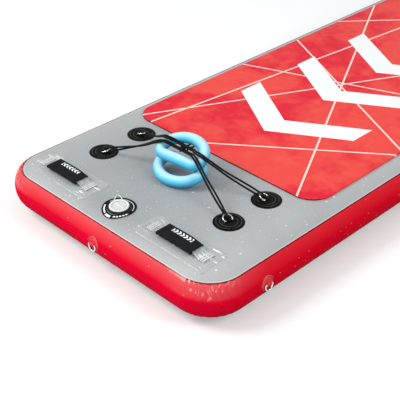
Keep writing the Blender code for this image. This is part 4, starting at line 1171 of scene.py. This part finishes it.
# %% [markdown]
# A carry handle has three parts: a clear base sheet welded to the deck, a clear strap
# that bows over it, and a padded black sleeve on the strap. The strap ends are welded
# under cross ribs. When the handle is pulled, only the middle rises, so each half of
# the strap is made as a piece of its own.

# %% Carry handle sizes
base_width, base_thick, base_corner = 0.098, 0.0012, 0.012
strap_width, strap_thick, strap_half = 0.038, 0.0022, 0.106
strap_tab, strap_ramp, strap_step, strap_bow = 0.018, 0.024, 0.0070, 0.0022
sleeve_half, sleeve_width, sleeve_thick = 0.064, 0.054, 0.0110
sleeve_squeeze = 0.085
base_top = deck_top + fit + base_thick


def strap_height(offset):
    """Height of the strap's middle above the base sheet."""
    flat = strap_half - strap_tab
    low = strap_thick / 2 + fit
    if abs(offset) >= flat:
        return low
    share = min((flat - abs(offset)) / strap_ramp, 1)
    ease = share * share * (3 - 2 * share)
    return low + strap_step * ease + strap_bow * (1 - (offset / flat) ** 2) * ease


def strap_station(offset):
    rise = (strap_height(offset + fit) - strap_height(offset - fit)) / (2 * fit)
    return Vector((offset, 0, strap_height(offset))), Vector((-rise, 0, 1)).normalized()


print("strap bows", round(strap_height(0) * 1000, 1), "mm over its base sheet")

# %% [markdown]
# The base sheet is thin and clear. Rows of points run across it from end to end, each
# dropped onto the deck's curve. Ribs are half-round beads laid across the strap's ends,
# and a longer bead runs round the sheet where it is welded.

# %% Base sheet, strap and ribs
rib_radius = 0.0017
# A rib's guide: shares of the strap's width and of the rib's radius, and if it is on the strap
rib_guide = ((-0.56, 0.4, 0), (-0.47, 0.2, 1), (0, 0.3, 1), (0.47, 0.2, 1), (0.56, 0.4, 0))


def base_sheet(name, cx, cy):
    rings = [(0.003, 0), (0.0, 0), (0.0, base_thick * 0.6), (0.0006, base_thick),
             (0.004, base_thick), (0.0055, base_thick + 0.0005), (0.007, base_thick),
             (0.011, base_thick)]
    rows = []
    for inset, above in rings:
        outline = rounded_outline(base_length / 2 - inset, base_width / 2 - inset,
                                  max(base_corner - inset, 0.0005), 8, (10, 6))
        rows.append([on_deck(cx + x, cy + y, fit + above) for x, y in outline])
    return skin(name, rows, clear_looks)


def strap_half_piece(name, side, cx, cy):
    section = rounded_outline(strap_width / 2, strap_thick / 2, strap_thick * 0.45, 3)
    rows = []
    for k in range(41):
        middle, up = strap_station(side * strap_half * k / 40)
        rows.append([Vector((cx, cy, base_top)) + middle + Vector((0, across, 0)) + up * high
                     for across, high in section])
    strap = skin(name, rows, clear_looks)
    inner = cx + side * sleeve_half
    outer = cx + side * (strap_half - strap_tab)
    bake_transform(strap)
    return strap


def weld_ribs(name, cx, cy):
    """Half-round beads across both ends of the strap."""
    ribs = []
    for side in (-1, 1):
        for k in range(3):
            x = cx + side * (strap_half - strap_tab + 0.0025 + k * (strap_tab - 0.004) / 2)
            guide = [(x, cy + strap_width * across,
                      base_top + on_strap * (strap_thick + fit) + rib_radius * above)
                     for across, above, on_strap in rib_guide]
            ribs.append(tube_rows(spline(guide, 22), rib_radius, 10))
    return skin(name, ribs[-1], weld_looks, open_skins=ribs[:-1])


# %% [markdown]
# The sleeve is a padded tube, flattened, a little slimmer at its bound ends. It stays
# hollow where the strap runs through. The padding swells between the ends, so the
# section's thickness follows a soft bulge along the length. Towards one end it has
# been squeezed narrower by the hand that carried it.

# %% Padded sleeve
sleeve_stations, sleeve_crown = 33, 0.0006
# Shares of the sleeve's half length where its bound ends and its squeeze start
bound_from, squeeze_from = 0.86, 0.35
binding_at, binding_radius = 0.985, 0.0011


def sleeve_piece(name, cx, cy, body):
    slot = rounded_outline(strap_width / 2 + 0.0006, strap_thick / 2 + 0.0006, 0.0012)
    outer_rows, inner_rows = [], []
    for k in range(sleeve_stations):
        share = 2 * k / (sleeve_stations - 1) - 1
        middle, up = strap_station(share * sleeve_half)
        end = max(abs(share) - bound_from, 0) / (1 - bound_from)
        swell = 0.93 + 0.07 * math.cos(share * math.pi / 2)
        thick = sleeve_thick / 2 * swell * (1 - 0.16 * end ** 2)
        wide = sleeve_width / 2 * (1 - 0.02 * end ** 2 - 0.015 * (1 - share ** 2))
        squeeze = sleeve_squeeze * max(share - squeeze_from, 0) / (1 - squeeze_from)
        section = rounded_outline(wide * (1 - squeeze), thick, thick * 0.85)
        spot = Vector((cx, cy, base_top)) + middle
        row = []
        for across, high in section:
            crown = sleeve_crown * math.cos(math.pi * across / sleeve_width) if high > 0 else 0
            aside = math.copysign(squeeze * wide, cy)
            row.append(spot + Vector((0, across + aside, 0)) + up * (high + crown))
        outer_rows.append(row)
        inner_rows.append([spot + Vector((0, across, 0)) + up * high for across, high in slot])
    sleeve = skin(name, outer_rows + inner_rows[::-1], neoprene_looks, closed=True, sharp=60)
    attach(sleeve, body)
    for half, sign in (("a", -1), ("b", 1)):
        middle, up = strap_station(sign * sleeve_half * binding_at)
        spot = Vector((cx, cy, base_top)) + middle
        squeeze = sleeve_squeeze if sign > 0 else 0
        wide = sleeve_width / 2 * binding_at
        outline = rounded_outline(wide * (1 - squeeze), sleeve_thick / 2 * 0.80,
                                  sleeve_thick / 2 * 0.6)
        aside = math.copysign(squeeze * wide, cy)
        line = [spot + Vector((0, across + aside, 0)) + up * high for across, high in outline]
        binding = skin(name + "_binding_" + half, tube_rows(line, binding_radius, 8, loop=True),
                       neoprene_looks, closed=True)
        settle(binding, body, "black_neoprene")
    return sleeve


def make_handle(name, side, facing):
    cx = side * handle_x
    cy = facing * (half_length - handle_from_end)
    body = "carry_grip_" + name
    settle(base_sheet("clear_base_" + name, cx, cy), "root", "clear_pvc", "handle_base_" + name)
    for half, sign in (("a", -1), ("b", 1)):
        strap = strap_half_piece("clear_strap_" + name + "_" + half, sign, cx, cy)
        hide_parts("handle_strap_" + name)
    settle(weld_ribs("weld_ribs_" + name, cx, cy), "root", "clear_pvc")
    sleeve = sleeve_piece("sleeve_" + name, cx, cy, body)
    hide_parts("handle_grip_" + name)


for end_name, facing in (("front", -1), ("rear", 1)):
    for side_name, side in (("left", -1), ("right", 1)):
        make_handle(end_name + "_" + side_name, side, facing)
print("four carry handles of", round(2 * sleeve_half * 1000), "mm sleeves")

# %% [markdown]
# The valve's cap is a turned disc. Thirty-six shallow flutes round its edge and a bar
# across its dish give fingers something to turn. The ring label below it is printed
# film: here its print is a thin arc, a bold one and a row of plain blocks, drawn from
# the distance and the angle round the valve's middle.

# %% Valve
valve_spot, valve_axis = hinge("cap_turn")
valve_side = Vector((1, 0, 0))
valve_place = placed(valve_spot, valve_side, valve_axis.cross(valve_side))
cap_radius = 0.0285
flutes, flute_depth = 36, 0.0007
cap_profile = millimetres(
    (21.9, 2.8), (27.9, 2.8), (28.5, 3.3), (28.5, 4.9), (28, 5.9), (26.9, 6.5), (22.8, 6.5),
    (21.945, 6.1), (21.09, 5.2), (11.4, 5), (3.42, 5), (3.42, 4.3), (21.9, 4.3))
hub_profile = millimetres((3.705, 4.3), (3.705, 5.5), (2.85, 5.9), (0.855, 6))
bar_half, bar_wide = cap_radius * 0.66, cap_radius * 0.105
# Heights of the finger bar's rows, and how far each is drawn in
bar_rings = millimetres((4.9, 0), (6, 0), (6.4, 0.6), (6.5, 1.4))
label_outer, label_inner, label_thick = 0.0500, 0.0346, 0.0004


def round_valve(reach, angle, height=0.0):
    """A point given by its distance, angle and height round the valve's axis."""
    return valve_place @ Vector((reach * math.cos(angle), reach * math.sin(angle), height))


def make_cap():
    steps = flutes * 6
    angles = [2 * math.pi * k / steps for k in range(steps)]
    rows = []
    for radius, height in cap_profile:
        depth = flute_depth if abs(radius - cap_radius) < 0.0008 else 0.0
        rows.append([round_valve(radius - depth * (0.5 + 0.5 * math.cos(flutes * angle)) ** 3,
                                 angle, height) for angle in angles])
    cap = skin("cap_shell", rows, cap_looks, closed=True)
    settle(cap, "cap", "white_plastic", "valve_cap")
    rows = []
    for height, shrink in bar_rings:
        end = bar_wide - shrink
        outline = rounded_outline(bar_half - shrink, end, end, 8)
        rows.append([valve_place @ Vector((x, y, height)) for x, y in outline])
    bar = skin("cap_finger_bar", rows, cap_looks,
               open_skins=[turned_rows(hub_profile, 32, valve_place)])
    settle(bar, "cap", "white_plastic")


# Each arc: its radius, half its width, and the degrees where it starts and ends
label_arcs = ((0.0405, 0.0009, 21, 178), (0.0418, 0.0021, 204, 250), (0.0425, 0.0034, 257, 283))
block_row = (0.0410, 0.0024, 294, 356)
block_count = 5


def printed_film():
    finish = Finish("printed_film", (0.005, 0.005, 0.006), 0.4, specular_ior_level=0.10)
    x, y, _ = finish.places()
    dx, dy = x - valve_spot.x, y - valve_spot.y
    reach = (dx * dx + dy * dy).maths("SQRT")
    turn = (dy.maths("ARCTAN2", dx) / (2 * math.pi) + 1).maths("FRACT")
    marks = []
    for radius, half, start, end in label_arcs + (block_row,):
        middle, span = (start + end) / 720, (end - start) / 720
        marks.append(abs(reach - radius).below(half, 0.0004) * abs(turn - middle).below(span, 0.006))
    pitch = 2 * span / block_count
    marks[-1] *= ((turn - start / 360) / pitch).maths("FRACT").below(0.68, 0.06)
    rim = reach.above(label_outer - 0.0010, 0.0003)
    tone = finish.mix((sum(marks) + rim * 0.4).clamped(), (0.004, 0.004, 0.005), (0.86, 0.86, 0.86))
    finish.paint(tone)
    finish.roughen(0.32 + finish.noise(300.0) * 0.15)
    finish.bump(finish.noise(500.0), 0.0002, 0.2)
    return finish.material


def make_label():
    rings = ((label_inner, 0), (label_outer, 0), (label_outer, label_thick),
             (label_inner, label_thick))
    rows = [[on_deck(valve_spot.x + x, valve_spot.y + y, fit + above)
             for x, y in circle(radius, 96)] for radius, above in rings]
    label = skin("ring_label", rows, printed_film(), closed=True)
    settle(label, "root", "black_label", "valve_label")


make_cap()
make_label()
print("valve stands at", tuple(round(v, 3) for v in valve_spot))

# %% [markdown]
# A thin white loop keeps the cap from being lost. It runs from both sides of the cap's
# rim to one anchor stud beside the label.

# %% Tether
tether_radius = 0.0012
tether_heading = math.radians(143.0)
tether_spread = math.radians(24.0)
tether_reach = 0.0620
# Shares of the spread, of the way out and of the rise, from the cap to the anchor
tether_shares = ((1.0, 0.0, 1.0), (0.36, 0.5, 0.7), (0.1, 0.93, 0.0), (0.0, 1.0, 0.0))


def tether_line():
    near = cap_radius + tether_radius + fit
    guide = []
    for side, shares in ((-1, tether_shares), (1, tether_shares[-2::-1])):
        for turn_share, out_share, rise_share in shares:
            reach = near + (tether_reach - near) * out_share
            spot = round_valve(reach, tether_heading + tether_spread * turn_share)
            low = deck_height(spot.x, spot.y) + fit + tether_radius
            if reach < label_outer + tether_radius:
                low += label_thick + fit
            high = spot.z + 0.0015 + 2 * tether_radius
            here = round_valve(reach, tether_heading + side * tether_spread * turn_share)
            guide.append((here.x, here.y, low + (high - low) * rise_share))
    return spline(guide, 60)


line = tether_line()
tether = skin("cap_tether", tube_rows(line, tether_radius, 10), tether_looks)
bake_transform(tether)
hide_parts("valve_tether")
print("tether loop is", round(sum(steps_of(line)), 3), "m")

# %% [markdown]
# Under the cap a coil spring holds the plunger shut, standing on a shelf. It closes when
# the plunger is pressed. Here it is a helix of its own along the valve's axis, set in
# the frame's box for the spring.

# %% Valve spring
spring_radius, spring_wire, spring_turns = 0.0052, 0.0006, 6
points_a_turn = 20
press_axis = Vector(joints["plunger_press"]["axis"]).normalized()
spring_low, spring_high = (Vector(corner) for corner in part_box("valve_spring"))
spring_middle = (spring_low + spring_high) / 2
lean = 2 * spring_radius * math.sqrt(1 - press_axis.z ** 2)
spring_length = spring_high.z - spring_low.z - lean


def spring_line():
    count = spring_turns * points_a_turn
    run = spring_length - 2 * spring_wire
    turned = [round_valve(spring_radius, 2 * math.pi * k / points_a_turn, run * (k / count - 0.5))
              for k in range(count + 1)]
    return [spring_middle + point - valve_spot for point in turned]


spring = skin("valve_coil", tube_rows(spring_line(), spring_wire, 8), steel_looks)
settle(spring, "root", "stainless_steel", "valve_spring")
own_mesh(spring)

# %% [markdown]
# Pieces inside the valve and the hull keep the frame's own solids where their shape is
# already right. Each still gets its finish.

# %% Finishes on the frame's own solids
thread_rate = 3200


def woven_cloth():
    finish = Finish("woven_cloth", (0.72, 0.72, 0.70), 0.8)
    x, y, _ = finish.places()
    threads = (x * thread_rate).maths("SINE") * (y * thread_rate).maths("SINE")
    tone = finish.mix(threads * 0.5 + 0.5, (0.62, 0.62, 0.60), (0.78, 0.78, 0.76))
    finish.paint(tone)
    finish.bump(threads, 0.0004, 0.5)
    return finish.material


woven_looks = woven_cloth()
cad_finishes = {
    "valve_body": plastic_looks, "valve_nut": plastic_looks, "valve_plunger": white_looks,
    "valve_gasket": rubber_looks, "valve_cap_seal": rubber_looks,
    "drop_stitch_panel": woven_looks, "inner_side_wall": woven_looks,
}
for node, looks in cad_finishes.items():
    materials = frame["nodes"][node].data.materials
    materials.clear()
    materials.append(looks)
print(len(cad_finishes), "nodes keep their solids")

# %% [markdown]
# The stage is a plain pale floor under a wide, soft sky. A large lamp high on the left
# of the valve end stands for the open sky there, a weaker one fills the right,
# and a low one in front lights the end's own face.
# The floor glows faintly for the camera, so that it reads as white paper around the
# shadow. Rays that carry its light on to the mat meet a darker tone, as open water
# under the real mat would give.

# %% Floor, lamps and world


def floor_finish():
    finish = Finish("floor", (0.82, 0.84, 0.85), 0.6, specular_ior_level=0.1)
    path = finish.node("ShaderNodeLightPath").outputs
    finish.paint(finish.mix(path["Is Diffuse Ray"], (0.82, 0.84, 0.85), (0.30, 0.34, 0.36)))
    seen = Value(finish, path["Is Camera Ray"]) + Value(finish, path["Is Glossy Ray"]) \
        + Value(finish, path["Is Transmission Ray"])
    glow = finish.mix(seen.clamped(), (0.0, 0.0, 0.0), (0.16, 0.15, 0.14))
    finish.feed(finish.shader.inputs["Emission Color"], glow)
    finish.feed(finish.shader.inputs["Emission Strength"], 1.0)
    return finish.material


def make_floor():
    bm = bmesh.new()
    bmesh.ops.create_grid(bm, x_segments=1, y_segments=1, size=20)
    floor = link_mesh("floor", bm, floor_finish())
    floor.location.z = -0.0005


def area_lamp(name, place, aim, size, power, colour):
    data = bpy.data.lights.new(name, "AREA")
    data.shape = "DISK"
    data.size = size
    data.energy = power
    data.color = colour
    lamp = bpy.data.objects.new(name, data)
    lamp.location = place
    lamp.rotation_mode = "QUATERNION"
    lamp.rotation_quaternion = (Vector(aim) - Vector(place)).to_track_quat("-Z", "Y")
    bpy.context.collection.objects.link(lamp)


def make_world():
    world = bpy.data.worlds.new("sky")
    world.use_nodes = True
    bpy.context.scene.world = world
    background = world.node_tree.nodes["Background"]
    background.inputs["Color"].default_value = (0.93, 0.97, 1.0, 1)
    background.inputs["Strength"].default_value = 0.58


make_floor()
area_lamp("sky_left", (-2.6, -3.2, 3.6), (0, -0.6, 0), 2.6, 150, (1.0, 0.99, 0.97))
area_lamp("sky_right", (3.4, 0.5, 3.2), (0, -0.3, 0), 2.4, 70, (0.97, 0.99, 1.0))
area_lamp("sky_front", (1.9, -4.2, 1.1), (0.3, -1.1, 0.05), 1.6, 34, (1.0, 0.99, 0.97))
make_world()
print("stage ready")
